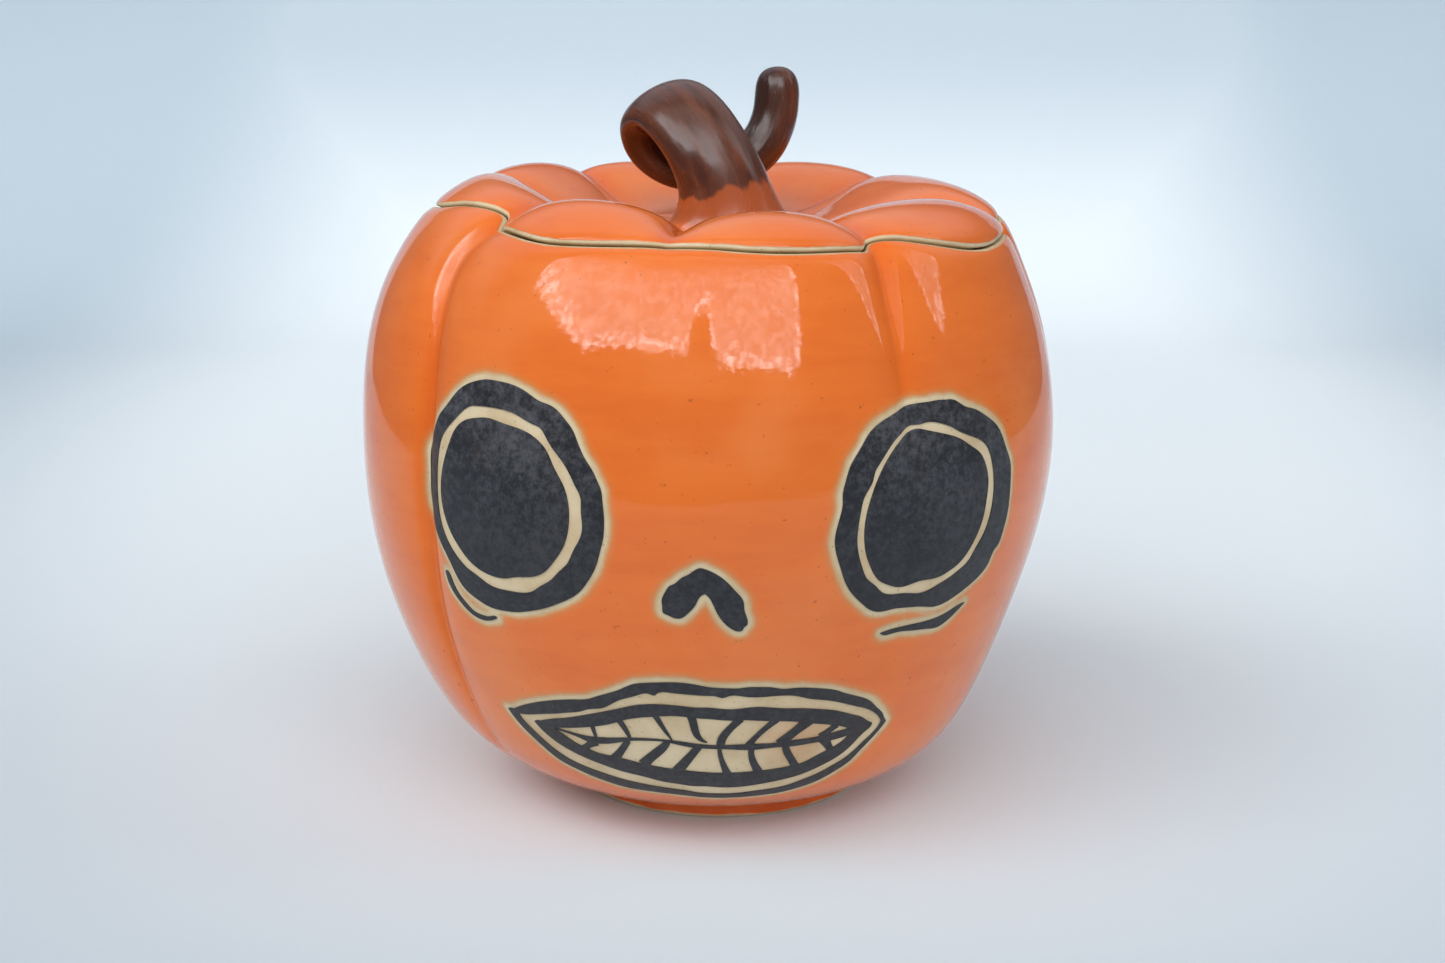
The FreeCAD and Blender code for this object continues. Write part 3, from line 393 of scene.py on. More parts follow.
def drawn(net, u, spacing):
    """Points of a net's surface, in rows about spacing apart and at the columns u."""
    v = even_parameters(net, spacing)
    return np.einsum("vr,rcx,uc->vux", clamped_basis(len(net), v), net,
                     periodic_basis(net.shape[1], u))


def column_parameters(spacing_at):
    """Positions round the net: each gap between its columns, divided evenly."""
    u = []
    for k, column in enumerate(COLUMNS):
        following = COLUMNS[(k + 1) % len(COLUMNS)]
        width = math.radians((following - column) % 360.0) * max(PROFILE)[0]
        count = max(1, math.ceil(width / spacing_at(turn_between(column, 0.0))))
        u += [k + i / count for i in range(count)]
    return np.array(u)


def step_back(rows):
    """The place on each column that is a corner's length before the last row."""
    away = rows[-2] - rows[-1]
    return rows[-1] + away / np.linalg.norm(away, axis=-1, keepdims=True) * CORNER


def rounded_join(before, after):
    """Rows that turn the corner where one sheet of rows ends and the next begins."""
    start, end = step_back(before), step_back(after[::-1])
    t = np.linspace(0, 1, CORNER_STEPS + 1)[:, None, None]
    return (1 - t) ** 2 * start + 2 * t * (1 - t) * before[-1] + t * t * end


def trimmed(rows, at_start=False, at_end=False):
    """Rows without those nearer than a rounded corner to an edge."""
    if at_end:
        far = np.linalg.norm(rows - rows[-1], axis=-1).min(axis=1) > CORNER_CLEAR
        rows = rows[far]
    if at_start:
        far = np.linalg.norm(rows - rows[0], axis=-1).min(axis=1) > CORNER_CLEAR
        rows = rows[far]
    return rows


# ---------------------------------------------------------------- meshes

def closed_grid(name, rows, materials, row_materials):
    """A mesh of rows of points closed round, capped at both ends. Points are in mm."""
    count, around = rows.shape[:2]
    points = rows.reshape(-1, 3) * MM
    i, j = np.meshgrid(np.arange(count - 1), np.arange(around), indexing="ij")
    after = (j + 1) % around
    faces = np.stack([i * around + j, i * around + after, (i + 1) * around + after,
                      (i + 1) * around + j], -1).reshape(-1, 4).tolist()
    faces.append(list(range(around))[::-1])
    faces.append([(count - 1) * around + k for k in range(around)])
    mesh = bpy.data.meshes.new(name)
    mesh.from_pydata(points.tolist(), [], faces)
    for material in materials:
        mesh.materials.append(material)
    face_material = np.repeat(row_materials, around).tolist()
    face_material += [row_materials[0], row_materials[-1]]
    mesh.polygons.foreach_set("material_index", face_material)
    mesh.polygons.foreach_set("use_smooth", [True] * len(faces))
    mesh.update()
    piece = bpy.data.objects.new(name, mesh)
    bpy.context.scene.collection.objects.link(piece)
    return piece


def add_values(piece, name, values):
    """A number, or a vector, at every point of a mesh, for its material."""
    values = np.asarray(values, np.float32)
    kind, field = ("FLOAT", "value") if values.ndim == 1 else ("FLOAT_VECTOR", "vector")
    attribute = piece.data.attributes.new(name, kind, "POINT")
    attribute.data.foreach_set(field, values.ravel())


def nodes_tree(names):
    """A search tree over the CAD solids with these names."""
    points, faces = [], []
    for name in names:
        mesh = frame["nodes"][name].data
        start = len(points)
        points += [v.co.copy() for v in mesh.vertices]
        faces += [[start + k for k in polygon.vertices] for polygon in mesh.polygons]
    return BVHTree.FromPolygons(points, faces)


def distances(points, names, chosen, limit):
    """Distance in mm from each chosen point to the nearest of some CAD solids."""
    tree = nodes_tree(names)
    found = np.full(len(points), limit)
    for k in np.flatnonzero(chosen):
        hit = tree.find_nearest(Vector(points[k] * MM), limit * MM)
        if hit[3] is not None:
            found[k] = hit[3] / MM
    return found


def crease_depth(rows, length):
    """How deep in a crease each point lies, 0 to 1, from its distance along the profile."""
    azimuth = np.degrees(np.arctan2(rows[..., 0] - LEAN_TABLE.at(rows[..., 2]), -rows[..., 1]))
    radius = np.hypot(rows[..., 0], rows[..., 1])
    depth = np.zeros(rows.shape[:-1])
    for crease, table in zip(CREASES, CREASE_TABLES):
        distance = radius * np.radians(turn_between(azimuth, crease[0]))
        share = np.minimum(table.at(length) / POOL_DEPTH, 1.0)
        depth = np.maximum(depth, np.exp(-(distance / POOL_REACH) ** 2) * share)
    return depth


# ---------------------------------------------------------------- material kit

class Tree:
    """Short calls that add nodes to a material's or a world's tree."""

    def __init__(self, owner):
        owner.use_nodes = True
        self.tree = owner.node_tree
        self.tree.nodes.clear()

    def add(self, kind, values=None, **settings):
        node = self.tree.nodes.new("ShaderNode" + kind)
        for name, value in settings.items():
            setattr(node, name, value)
        for name, value in (values or {}).items():
            if isinstance(value, bpy.types.NodeSocket):
                self.tree.links.new(value, node.inputs[name])
            else:
                node.inputs[name].default_value = value
        return node

    def math(self, operation, a, b=0.0, c=0.0):
        return self.add("Math", {0: a, 1: b, 2: c}, operation=operation).outputs[0]

    def ramp(self, value, low, high, to_low=0.0, to_high=1.0, smooth=True):
        """A value that goes from to_low to to_high as another goes from low to high."""
        kind = "SMOOTHSTEP" if smooth else "LINEAR"
        return self.add("MapRange", {"Value": value, "From Min": low, "From Max": high,
                                     "To Min": to_low, "To Max": to_high},
                        interpolation_type=kind, clamp=True).outputs["Result"]

    def mix(self, share, a, b):
        """Colour a where share is 0 and colour b where it is 1."""
        node = self.add("Mix", data_type="RGBA")
        for socket, value in zip((node.inputs[0], node.inputs[6], node.inputs[7]), (share, a, b)):
            if isinstance(value, bpy.types.NodeSocket):
                self.tree.links.new(value, socket)
            else:
                socket.default_value = value
        return node.outputs[2]

    def noise(self, scale, detail=2.0, roughness=0.5, vector=None):
        values = {"Scale": scale, "Detail": detail, "Roughness": roughness}
        values["Vector"] = self.place() if vector is None else vector
        return self.add("TexNoise", values).outputs[0]

    def place(self, stretch=(1.0, 1.0, 1.0)):
        """The point on the object in metres, times a stretch on each axis."""
        coordinates = self.add("TexCoord").outputs["Object"]
        return self.add("Mapping", {"Vector": coordinates, "Scale": stretch}).outputs[0]

    def height(self):
        """The height on the object in metres."""
        return self.add("SeparateXYZ", {"Vector": self.place()}).outputs[2]

    def attribute(self, name, output="Fac"):
        return self.add("Attribute", attribute_name=name).outputs[output]

    def bump(self, height, distance, normal=None):
        values = {"Height": height, "Distance": distance}
        if normal is not None:
            values["Normal"] = normal
        return self.add("Bump", values).outputs[0]

    def surface(self, **values):
        shader = self.add("BsdfPrincipled", values)
        self.add("OutputMaterial", {"Surface": shader.outputs[0]})


def srgb(red, green, blue):
    """A colour in the shader's linear numbers, from 0 to 255 screen values."""
    linear = []
    for value in (red, green, blue):
        share = value / 255
        linear.append(share / 12.92 if share <= 0.04045 else ((share + 0.055) / 1.055) ** 2.4)
    return (*linear, 1.0)


def new_material(name):
    material = bpy.data.materials.new(name)
    return material, Tree(material)


# ---------------------------------------------------------------- materials

CLAY = srgb(224, 204, 168)
CLAY_DARK = srgb(204, 178, 138)
CLAY_SPECK = srgb(132, 102, 72)
CLAY_STAINED = srgb(204, 172, 124)
STAIN_BROWN = srgb(196, 128, 78)
TOOTH_STAIN = (0.021, -0.084, 0.037)
GLAZE = srgb(236, 118, 46)
GLAZE_DEEP = srgb(214, 92, 34)
GLAZE_PALE = srgb(244, 148, 84)
GLAZE_SPECK = srgb(150, 70, 30)
GLAZE_THIN = srgb(206, 146, 88)
GLAZE_IOR = 1.5
SLIP_BLACK = srgb(33, 33, 37)
SLIP_GREY = srgb(84, 84, 88)
SLIP_WORN = srgb(104, 92, 82)
SLIP_IOR = 1.45
STEM_BROWN = srgb(98, 52, 30)
STEM_DARK = srgb(72, 37, 22)
STEM_RUST = srgb(146, 72, 32)
STEM_SHADE = srgb(40, 20, 12)
STEM_BASE = srgb(170, 86, 38)
STEM_IOR = 1.62
FOOT_ORANGE = srgb(244, 116, 44)
FOOT_DEEP = srgb(228, 98, 34)
CREAM = srgb(232, 216, 184)
CREAM_DEEP = srgb(214, 186, 140)
CREAM_SPECK = srgb(140, 100, 64)
PAPER = srgb(234, 241, 245)
PAPER_SHADED = srgb(184, 198, 208)
BODY_BARE_EDGE = 0.7                # mm of bare clay beside the cut
LID_BARE_EDGE = 1.0


def clay_colour(tree):
    """Buff stoneware with dark specks."""
    cloud = tree.noise(70.0, 4.0, 0.6)
    speck = tree.ramp(tree.noise(900.0, 2.0, 0.5), 0.66, 0.74)
    colour = tree.mix(tree.ramp(cloud, 0.3, 0.75), CLAY, CLAY_DARK)
    return tree.mix(tree.math("MULTIPLY", speck, 0.5), colour, CLAY_SPECK)


def glaze_colour(tree, brushed, cloud, pool):
    """Brushed and clouded orange, deeper where it pools in a crease."""
    colour = tree.mix(tree.ramp(brushed, 0.3, 0.75, 0.0, 0.35), GLAZE, GLAZE_DEEP)
    colour = tree.mix(tree.ramp(cloud, 0.42, 0.75, 0.0, 0.35), colour, GLAZE_PALE)
    colour = tree.mix(tree.math("MULTIPLY", pool, 0.65), colour, GLAZE_DEEP)
    speck = tree.ramp(tree.noise(620.0, 2.0, 0.5), 0.7, 0.76, 0.0, 0.5)
    return tree.mix(speck, colour, GLAZE_SPECK)


def glaze_material(name, bare_edge, on_body):
    """Brushed orange glaze that leaves the cut edge bare, and the clay round the slip."""
    material, tree = new_material(name)
    brushed = tree.noise(1.0, 4.0, 0.6, tree.place((26.0, 26.0, 120.0)))
    cloud = tree.noise(24.0, 3.0, 0.55)
    pool = tree.attribute("pool")
    colour = glaze_colour(tree, brushed, cloud, pool)
    wander = tree.math("MULTIPLY_ADD", tree.noise(170.0, 3.0, 0.6), 1.4, -0.7)
    edge = tree.math("ADD", tree.attribute("edge_mm"), tree.math("MULTIPLY", wander, 0.5))
    bare = tree.ramp(edge, bare_edge - 0.25, bare_edge + 0.25, 1.0, 0.0)
    clay = clay_colour(tree)
    mirror = 0.5
    if on_body:
        reach = tree.math("ADD", tree.attribute("slip_mm"), wander)
        halo = tree.ramp(reach, 0.9, 2.5, 1.0, 0.0)
        colour = tree.mix(tree.ramp(reach, 1.6, 4.0, 0.5, 0.0), colour, GLAZE_THIN)
        enclosed = tree.ramp(tree.attribute("enclosed_mm"), 3.4, 4.4, 1.0, 0.0)
        bare = tree.math("MAXIMUM", bare, tree.math("MAXIMUM", halo, enclosed))
        stained = tree.math("SUBTRACT", tree.ramp(reach, 0.6, 1.6, 0.0, 0.8), enclosed)
        clay = tree.mix(tree.math("MAXIMUM", stained, 0.0), clay, CLAY_STAINED)
        from_stain = tree.add("VectorMath", {0: tree.place(), 1: TOOTH_STAIN},
                              operation="DISTANCE").outputs["Value"]
        clay = tree.mix(tree.ramp(from_stain, 0.002, 0.016, 0.5, 0.0), clay, STAIN_BROWN)
        mirror = tree.ramp(pool, 0.02, 0.28, 0.5, 0.12)
    colour = tree.mix(bare, colour, clay)
    roughness = tree.math("MULTIPLY_ADD", bare, 0.55, 0.035)
    roughness = tree.math("ADD", roughness, tree.ramp(cloud, 0.3, 0.8, 0.0, 0.035))
    wave = tree.bump(tree.noise(26.0, 1.0, 0.4), 0.0007)
    brush = tree.bump(brushed, 0.00006, wave)
    fine = tree.bump(tree.noise(420.0, 2.0, 0.5), 0.000008, brush)
    step = tree.bump(bare, -0.00012, fine)
    tree.surface(**{"Base Color": colour, "Roughness": roughness, "IOR": GLAZE_IOR,
                    "Specular IOR Level": mirror, "Normal": step})
    return material


def cream_glaze_material():
    """Pale glaze for the inside, with the rings that throwing leaves."""
    material, tree = new_material("cream_inside")
    cloud = tree.noise(40.0, 3.0, 0.6)
    colour = tree.mix(tree.ramp(cloud, 0.35, 0.7), CREAM, CREAM_DEEP)
    speck = tree.ramp(tree.noise(500.0, 2.0, 0.5), 0.68, 0.74, 0.0, 0.7)
    colour = tree.mix(speck, colour, CREAM_SPECK)
    rings = tree.bump(tree.noise(1.0, 2.0, 0.5, tree.place((4.0, 4.0, 240.0))), 0.0004)
    tree.surface(**{"Base Color": colour, "Roughness": tree.ramp(cloud, 0.3, 0.8, 0.2, 0.34),
                    "Normal": rings})
    return material


def clay_material():
    """Rough bare stoneware with throwing rings."""
    material, tree = new_material("bare_clay")
    grain = tree.noise(700.0, 3.0, 0.6)
    rings = tree.noise(1.0, 2.0, 0.5, tree.place((5.0, 5.0, 320.0)))
    bump = tree.bump(grain, 0.00008, tree.bump(rings, 0.0004))
    tree.surface(**{"Base Color": clay_colour(tree),
                    "Roughness": tree.ramp(grain, 0.3, 0.7, 0.7, 0.85), "Normal": bump})
    return material


def slip_material():
    """Black slip, mottled grey where it is thin, the grey stronger higher up as a painted sky
    reflection.
    """
    material, tree = new_material("black_slip")
    cloud = tree.noise(60.0, 4.0, 0.62)
    grain = tree.noise(520.0, 5.0, 0.8)
    stroke = tree.noise(1.0, 3.0, 0.6, tree.place((150.0, 150.0, 420.0)))
    # painted sky reflection: the grey mottling is weaker low on the jar and full strength higher
    # up
    upper_sheen = tree.ramp(tree.height(), 0.085, 0.13, 0.35, 1.0)
    mottle = tree.ramp(tree.math("ADD", grain, tree.math("MULTIPLY", cloud, 0.5)), 0.62, 0.95)
    colour = tree.mix(tree.math("MULTIPLY", mottle, upper_sheen), SLIP_BLACK, SLIP_GREY)
    colour = tree.mix(tree.ramp(stroke, 0.62, 0.8, 0.0, 0.35), colour, SLIP_WORN)
    fine = tree.noise(900.0, 2.0, 0.6)
    bump = tree.bump(fine, 0.00003, tree.bump(stroke, 0.00006))
    tree.surface(**{"Base Color": colour, "Roughness": tree.ramp(cloud, 0.3, 0.7, 0.38, 0.56),
                    "IOR": SLIP_IOR, "Normal": bump})
    return material


def stem_material():
    """Brown glaze brushed along the coil, thin at its foot, with painted shade inside its curl.
    """
    material, tree = new_material("brown_glaze")
    grain = tree.attribute("grain", "Vector")
    streak = tree.noise(1.0, 4.0, 0.6, grain)
    broad = tree.noise(0.45, 2.0, 0.5, grain)
    speck = tree.ramp(tree.noise(800.0, 2.0, 0.5), 0.66, 0.74, 0.0, 0.4)
    colour = tree.mix(tree.ramp(streak, 0.3, 0.7), STEM_DARK, STEM_BROWN)
    colour = tree.mix(tree.ramp(broad, 0.58, 0.72, 0.0, 0.3), colour, STEM_RUST)
    # painted shade: darker where the coil faces the middle of its curl
    colour = tree.mix(tree.ramp(tree.attribute("curl"), 0.25, 0.85, 0.0, 0.8), colour, STEM_SHADE)
    colour = tree.mix(speck, colour, STEM_RUST)
    wander = tree.ramp(broad, 0.3, 0.7, -2.0, 2.0, False)
    wander = tree.math("ADD", wander, tree.ramp(streak, 0.3, 0.7, -0.8, 0.8, False))
    base = tree.math("ADD", tree.attribute("base_mm"), wander)
    thin = tree.mix(tree.ramp(base, 5.0, 10.0, 0.75, 0.0), STEM_BASE, GLAZE)
    colour = tree.mix(tree.ramp(base, 16.6, 18.4, 0.9, 0.0), colour, thin)
    roughness = tree.ramp(streak, 0.3, 0.7, 0.2, 0.3)
    bump = tree.bump(streak, 0.00008, tree.bump(broad, 0.0005))
    tree.surface(**{"Base Color": colour, "Roughness": roughness, "IOR": STEM_IOR,
                    "Normal": bump})
    return material


def foot_material():
    """Orange glaze, wiped off just above the surface that the jar stands on."""
    material, tree = new_material("foot_glaze")
    cloud = tree.noise(60.0, 3.0, 0.6)
    low = tree.math("ADD", tree.height(), tree.ramp(cloud, 0.2, 0.8, -0.0004, 0.0004))
    colour = tree.mix(tree.ramp(cloud, 0.3, 0.7), FOOT_ORANGE, FOOT_DEEP)
    colour = tree.mix(tree.ramp(low, 0.0009, 0.0014, 1.0, 0.0), colour, clay_colour(tree))
    bump = tree.bump(tree.noise(300.0, 3.0, 0.6), 0.0002)
    tree.surface(**{"Base Color": colour, "Roughness": tree.ramp(low, 0.0009, 0.0014, 0.75, 0.2),
                    "Normal": bump})
    return material


# ---------------------------------------------------------------- the jar

def make_jar_body(glaze, cream, clay):
    """The jar: glazed outside, bare under it and on the cut rim, cream inside."""
    outer_net = skin_net(np.zeros_like(COLUMNS), SEAM_LENGTH, BODY_SHARES, rounded="last")
    outer_net[0] = ring(BASE_RADIUS, FOOT_HEIGHT)
    inner_start = np.full_like(COLUMNS, float(length_at_height(INNER_START_HEIGHT)))
    inner_net = skin_net(inner_start, SEAM_LENGTH + SEAM_SLOPE_RUN, INNER_BODY_SHARES, WALL,
                         INNER_FOLD)
    floor = FOOT_HEIGHT + FLOOR
    bend = ring(INNER_FLOOR_RADIUS + INNER_BEND[0], floor + INNER_BEND[1])
    inner_net = np.concatenate([[ring(INNER_FLOOR_RADIUS, floor), bend], inner_net])

    def spacing(azimuth):
        return FRONT_SPACING if FRONT_AZIMUTHS[0] < azimuth < FRONT_AZIMUTHS[1] else BACK_SPACING

    u = column_parameters(spacing)
    outer = drawn(outer_net, u, ROW_SPACING)
    inner = drawn(inner_net, u, INNER_ROW_SPACING)[::-1]
    azimuths = np.degrees(np.arctan2(outer[0, :, 0], -outer[0, :, 1]))
    rim = np.linspace(outer[-1], inner[0], RIM_STEPS)
    under = np.stack([ring(r, FOOT_HEIGHT, azimuths) for r in UNDER_RADII])
    bottom = np.stack([ring(r, floor, azimuths) for r in FLOOR_RADII])
    parts = [under, trimmed(outer, at_end=True), rounded_join(outer, rim),
             trimmed(rim, True, True), rounded_join(rim, inner), trimmed(inner, at_start=True),
             bottom]
    rows = np.concatenate(parts)
    base = len(under)
    glazed = base + len(parts[1]) + CORNER_STEPS // 2
    bare = glazed + len(parts[3]) + CORNER_STEPS + 1
    which = np.repeat([2, 0, 2, 1], [base, glazed - base, bare - glazed, len(rows) - 1 - bare])
    piece = closed_grid("jar_body_glazed", rows, [glaze, cream, clay], which)

    points = rows.reshape(-1, 3)
    azimuth = np.degrees(np.arctan2(points[:, 0], -points[:, 1]))
    row = np.repeat(np.arange(len(rows)), rows.shape[1])
    low, high = PAINTED_HEIGHTS
    facing = ((azimuth > PAINTED_AZIMUTHS[0]) & (azimuth < PAINTED_AZIMUTHS[1])
              & (points[:, 2] > low) & (points[:, 2] < high) & (row < glazed))
    add_values(piece, "slip_mm", distances(points, SLIP_NODES, facing, SLIP_LIMIT))
    add_values(piece, "enclosed_mm", distances(points, ENCLOSED_NODES, facing, SLIP_LIMIT))
    add_values(piece, "edge_mm", np.linalg.norm(rows - outer[-1], axis=-1).ravel())
    add_values(piece, "pool", crease_depth(rows, length_at_height(rows[..., 2])).ravel())
    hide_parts("jar_body")
    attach(piece, "jar")


def make_lid(glaze, clay):
    """The lid: glazed on top, bare under it and on the cut rim."""
    outer_net = skin_net(LID_LENGTH, np.full_like(COLUMNS, TOTAL_LENGTH), LID_SHARES,
                         rounded="first")
    inner_net = skin_net(LID_LENGTH + SEAM_SLOPE_RUN, np.full_like(COLUMNS, TOTAL_LENGTH),
                         INNER_LID_SHARES, WALL, INNER_FOLD)
    outer_net[-1] = ring(DISH_RADIUS, DISH_HEIGHT)
    inner_net[-1] = ring(DISH_RADIUS, DISH_HEIGHT - WALL)
    u = column_parameters(lambda azimuth: LID_SPACING)
    outer = drawn(outer_net, u, LID_ROW_SPACING)
    inner = drawn(inner_net, u, INNER_ROW_SPACING)[::-1]
    azimuths = np.degrees(np.arctan2(outer[-1, :, 0], -outer[-1, :, 1]))
    rim = np.linspace(inner[-1], outer[0], RIM_STEPS)
    parts = [ring(LID_CENTRE_RADIUS, DISH_HEIGHT - WALL, azimuths)[None],
             trimmed(inner, at_end=True), rounded_join(inner, rim), trimmed(rim, True, True),
             rounded_join(rim, outer), trimmed(outer, at_start=True),
             ring(LID_CENTRE_RADIUS, DISH_HEIGHT, azimuths)[None]]
    rows = np.concatenate(parts)
    bare = sum(len(part) for part in parts[:4]) + CORNER_STEPS // 2
    which = np.repeat([1, 0], [bare, len(rows) - 1 - bare])
    piece = closed_grid("lid_glazed", rows, [glaze, clay], which)
    add_values(piece, "edge_mm", np.linalg.norm(rows - outer[0], axis=-1).ravel())
    length = length_at_radius(np.hypot(rows[..., 0], rows[..., 1]))
    add_values(piece, "pool", crease_depth(rows, length).ravel())
    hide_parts("lid")
    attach(piece, "lid")


FOOT_WIDTH = 5.5
FOOT_ROUND = 1.4                    # radius of the foot's two lower edges
FOOT_SHOULDER = 3.4
FOOT_TURN = 2.0                     # degrees between the foot's mesh columns
QUARTER_STEPS = 4


def quarter(centre_r, centre_z, radius, start):
    """Points of a quarter turn, from an angle in degrees and on anticlockwise."""
    angles = [math.radians(start + 90 * k / QUARTER_STEPS) for k in range(QUARTER_STEPS + 1)]
    return [(centre_r + radius * math.cos(angle), centre_z + radius * math.sin(angle))
            for angle in angles]


def make_foot(material):
    """The foot, turned from a section with rounded lower edges."""
    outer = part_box("foot_ring")[1].x / MM
    inner = outer - FOOT_WIDTH
    section = (quarter(inner + FOOT_ROUND, FOOT_ROUND, FOOT_ROUND, 180)
               + quarter(outer - FOOT_ROUND, FOOT_ROUND, FOOT_ROUND, 270)
               + [(outer, FOOT_SHOULDER), (outer, FOOT_HEIGHT), (inner, FOOT_HEIGHT),
                  (inner, FOOT_SHOULDER)])
    azimuths = np.arange(0.0, 360.0, FOOT_TURN)
    rows = np.stack([ring(r, z, azimuths) for r, z in section])
    count, around = rows.shape[:2]
    faces = []
    for i in range(count):
        below = (i + 1) % count * around
        for j in range(around):
            after = (j + 1) % around
            faces.append((i * around + j, i * around + after, below + after, below + j))
    mesh = bpy.data.meshes.new("foot_ring_glazed")
    mesh.from_pydata((rows.reshape(-1, 3) * MM).tolist(), [], faces)
    mesh.materials.append(material)
    mesh.polygons.foreach_set("use_smooth", [True] * len(faces))
    piece = bpy.data.objects.new("foot_ring_glazed", mesh)
    bpy.context.scene.collection.objects.link(piece)
    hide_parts("foot_ring")
    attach(piece, "jar")


# ---------------------------------------------------------------- the stem

STEM_FLARE = 0.34                   # the clay is drawn out this much where it meets the lid
STEM_FLARE_REACH = 5.0
STEM_COLUMN_STEP = 0.25             # of the distance between the control net's columns
STEM_ROW_SPACING = 0.8
STEM_SUNK = 2.0                     # the mesh starts this far under the lid's dish
GRAIN_ROUND = 3.2                   # brush marks in the glaze: this far round the coil,
GRAIN_ALONG = 0.08                  # and this much for each mm along it
CURL_SHARE = 0.72                   # the curl is this much of the stem's length
SMALLEST_RADIUS = 0.1


def stem_rings():
    """Rings of the stem's control net, from its foot to its rounded tip."""
    lengths = running_length([station[:3] for station in STEM])
    tables = [Table(list(zip(lengths, values)), k < 3) for k, values in enumerate(zip(*STEM))]
    count = round(lengths[-1] / STEM_STEP)
    stations = [[table.at(lengths[-1] * k / count) for table in tables]
                for k in range(count + 1)]
    last = list(stations[-1])
    for share, size in STEM_ENDING:
        centre = np.array(last[:3]) + (np.array(STEM_TIP) - last[:3]) * share
        stations.append([*centre, last[3] * size, last[4] * size, *last[5:]])
    stations = np.array(stations, float)
    grow = 3 / (2 + math.cos(2 * math.pi / STEM_ROUND))
    angles = 2 * np.pi * np.arange(STEM_ROUND)[:, None] / STEM_ROUND
    rows = []
    for i, station in enumerate(stations):
        centre, width, thickness, across = station[:3], station[3], station[4], station[5:]
        along = stations[min(i + 1, len(stations) - 1), :3] - stations[max(i - 1, 0), :3]
        along /= np.linalg.norm(along)
        across = across - along * (across @ along)
        across /= np.linalg.norm(across)
        outwards = np.cross(along, across)
        rows.append(centre + across * (grow * width * np.cos(angles))
                    + outwards * (grow * thickness * np.sin(angles)))
    return np.array(rows)


def inside_curl(rows):
    """How squarely each point faces the middle of the curl, from 0 to 1."""
    centres = rows.mean(axis=1)
    middle = centres[:round(CURL_SHARE * len(centres))].mean(axis=0)
    inwards = (middle - centres)[:, None]
    outwards = rows - centres[:, None]
    reach = np.maximum(np.linalg.norm(outwards, axis=-1), SMALLEST_RADIUS)
    scale = np.linalg.norm(inwards, axis=-1) * reach
    return np.maximum((inwards * outwards).sum(axis=-1) / scale, 0.0).ravel()


def make_stem(material):
    """The coiled stem, flared where it is joined to the lid."""
    u = np.arange(0, STEM_ROUND, STEM_COLUMN_STEP)
    rows = drawn(stem_rings(), u, STEM_ROW_SPACING)
    centres = rows.mean(axis=1, keepdims=True)
    rise = np.maximum(rows[..., 2:] - DISH_HEIGHT, 0)
    first_part = (np.arange(len(rows)) < len(rows) // 4)[:, None, None]
    flare = np.where(first_part, STEM_FLARE * np.exp(-rise / STEM_FLARE_REACH), 0.0)
    rows[..., :2] += ((rows - centres) * flare)[..., :2]
    rows = rows[rows[..., 2].max(axis=1) > DISH_HEIGHT - STEM_SUNK]
    piece = closed_grid("stem_handle_glazed", rows, [material], np.zeros(len(rows) - 1, int))
    along = running_length(rows.mean(axis=1))[:, None]
    turn = (2 * np.pi * u / STEM_ROUND)[None, :]
    grain = np.stack(np.broadcast_arrays(GRAIN_ROUND * np.cos(turn), GRAIN_ROUND * np.sin(turn),
                                         GRAIN_ALONG * along), -1)
    add_values(piece, "grain", grain.reshape(-1, 3))
    add_values(piece, "curl", inside_curl(rows))
    add_values(piece, "base_mm", np.broadcast_to(along, rows.shape[:2]).ravel())
    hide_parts("stem_handle")
    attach(piece, "lid")


def dress(names, material):
    """Gives CAD solids that stay as they are a new material."""
    for name in names:
        mesh = frame["nodes"][name].data
        mesh.materials.clear()
        mesh.materials.append(material)


# ---------------------------------------------------------------- stage, lights and camera

CAMERA_PLACE = (0.0006, -0.5808, 0.2294)
CAMERA_TILT = 76.37
CAMERA_LENS, CAMERA_SENSOR = 50.0, 36.0
FLOOR_FRONT, FLOOR_BACK = -0.5, 0.75
SWEEP_RADIUS, SWEEP_TOP = 0.35, 0.5
SWEEP_STEPS = 12
FLOOR_HALF = 0.75
# painted light falloff on the paper's colour:
PALE_CENTRE = (0.03, 0.6)           # the paper is palest here and darkens over
PALE_REACH = (0.45, 0.8)            # these distances sideways and in depth


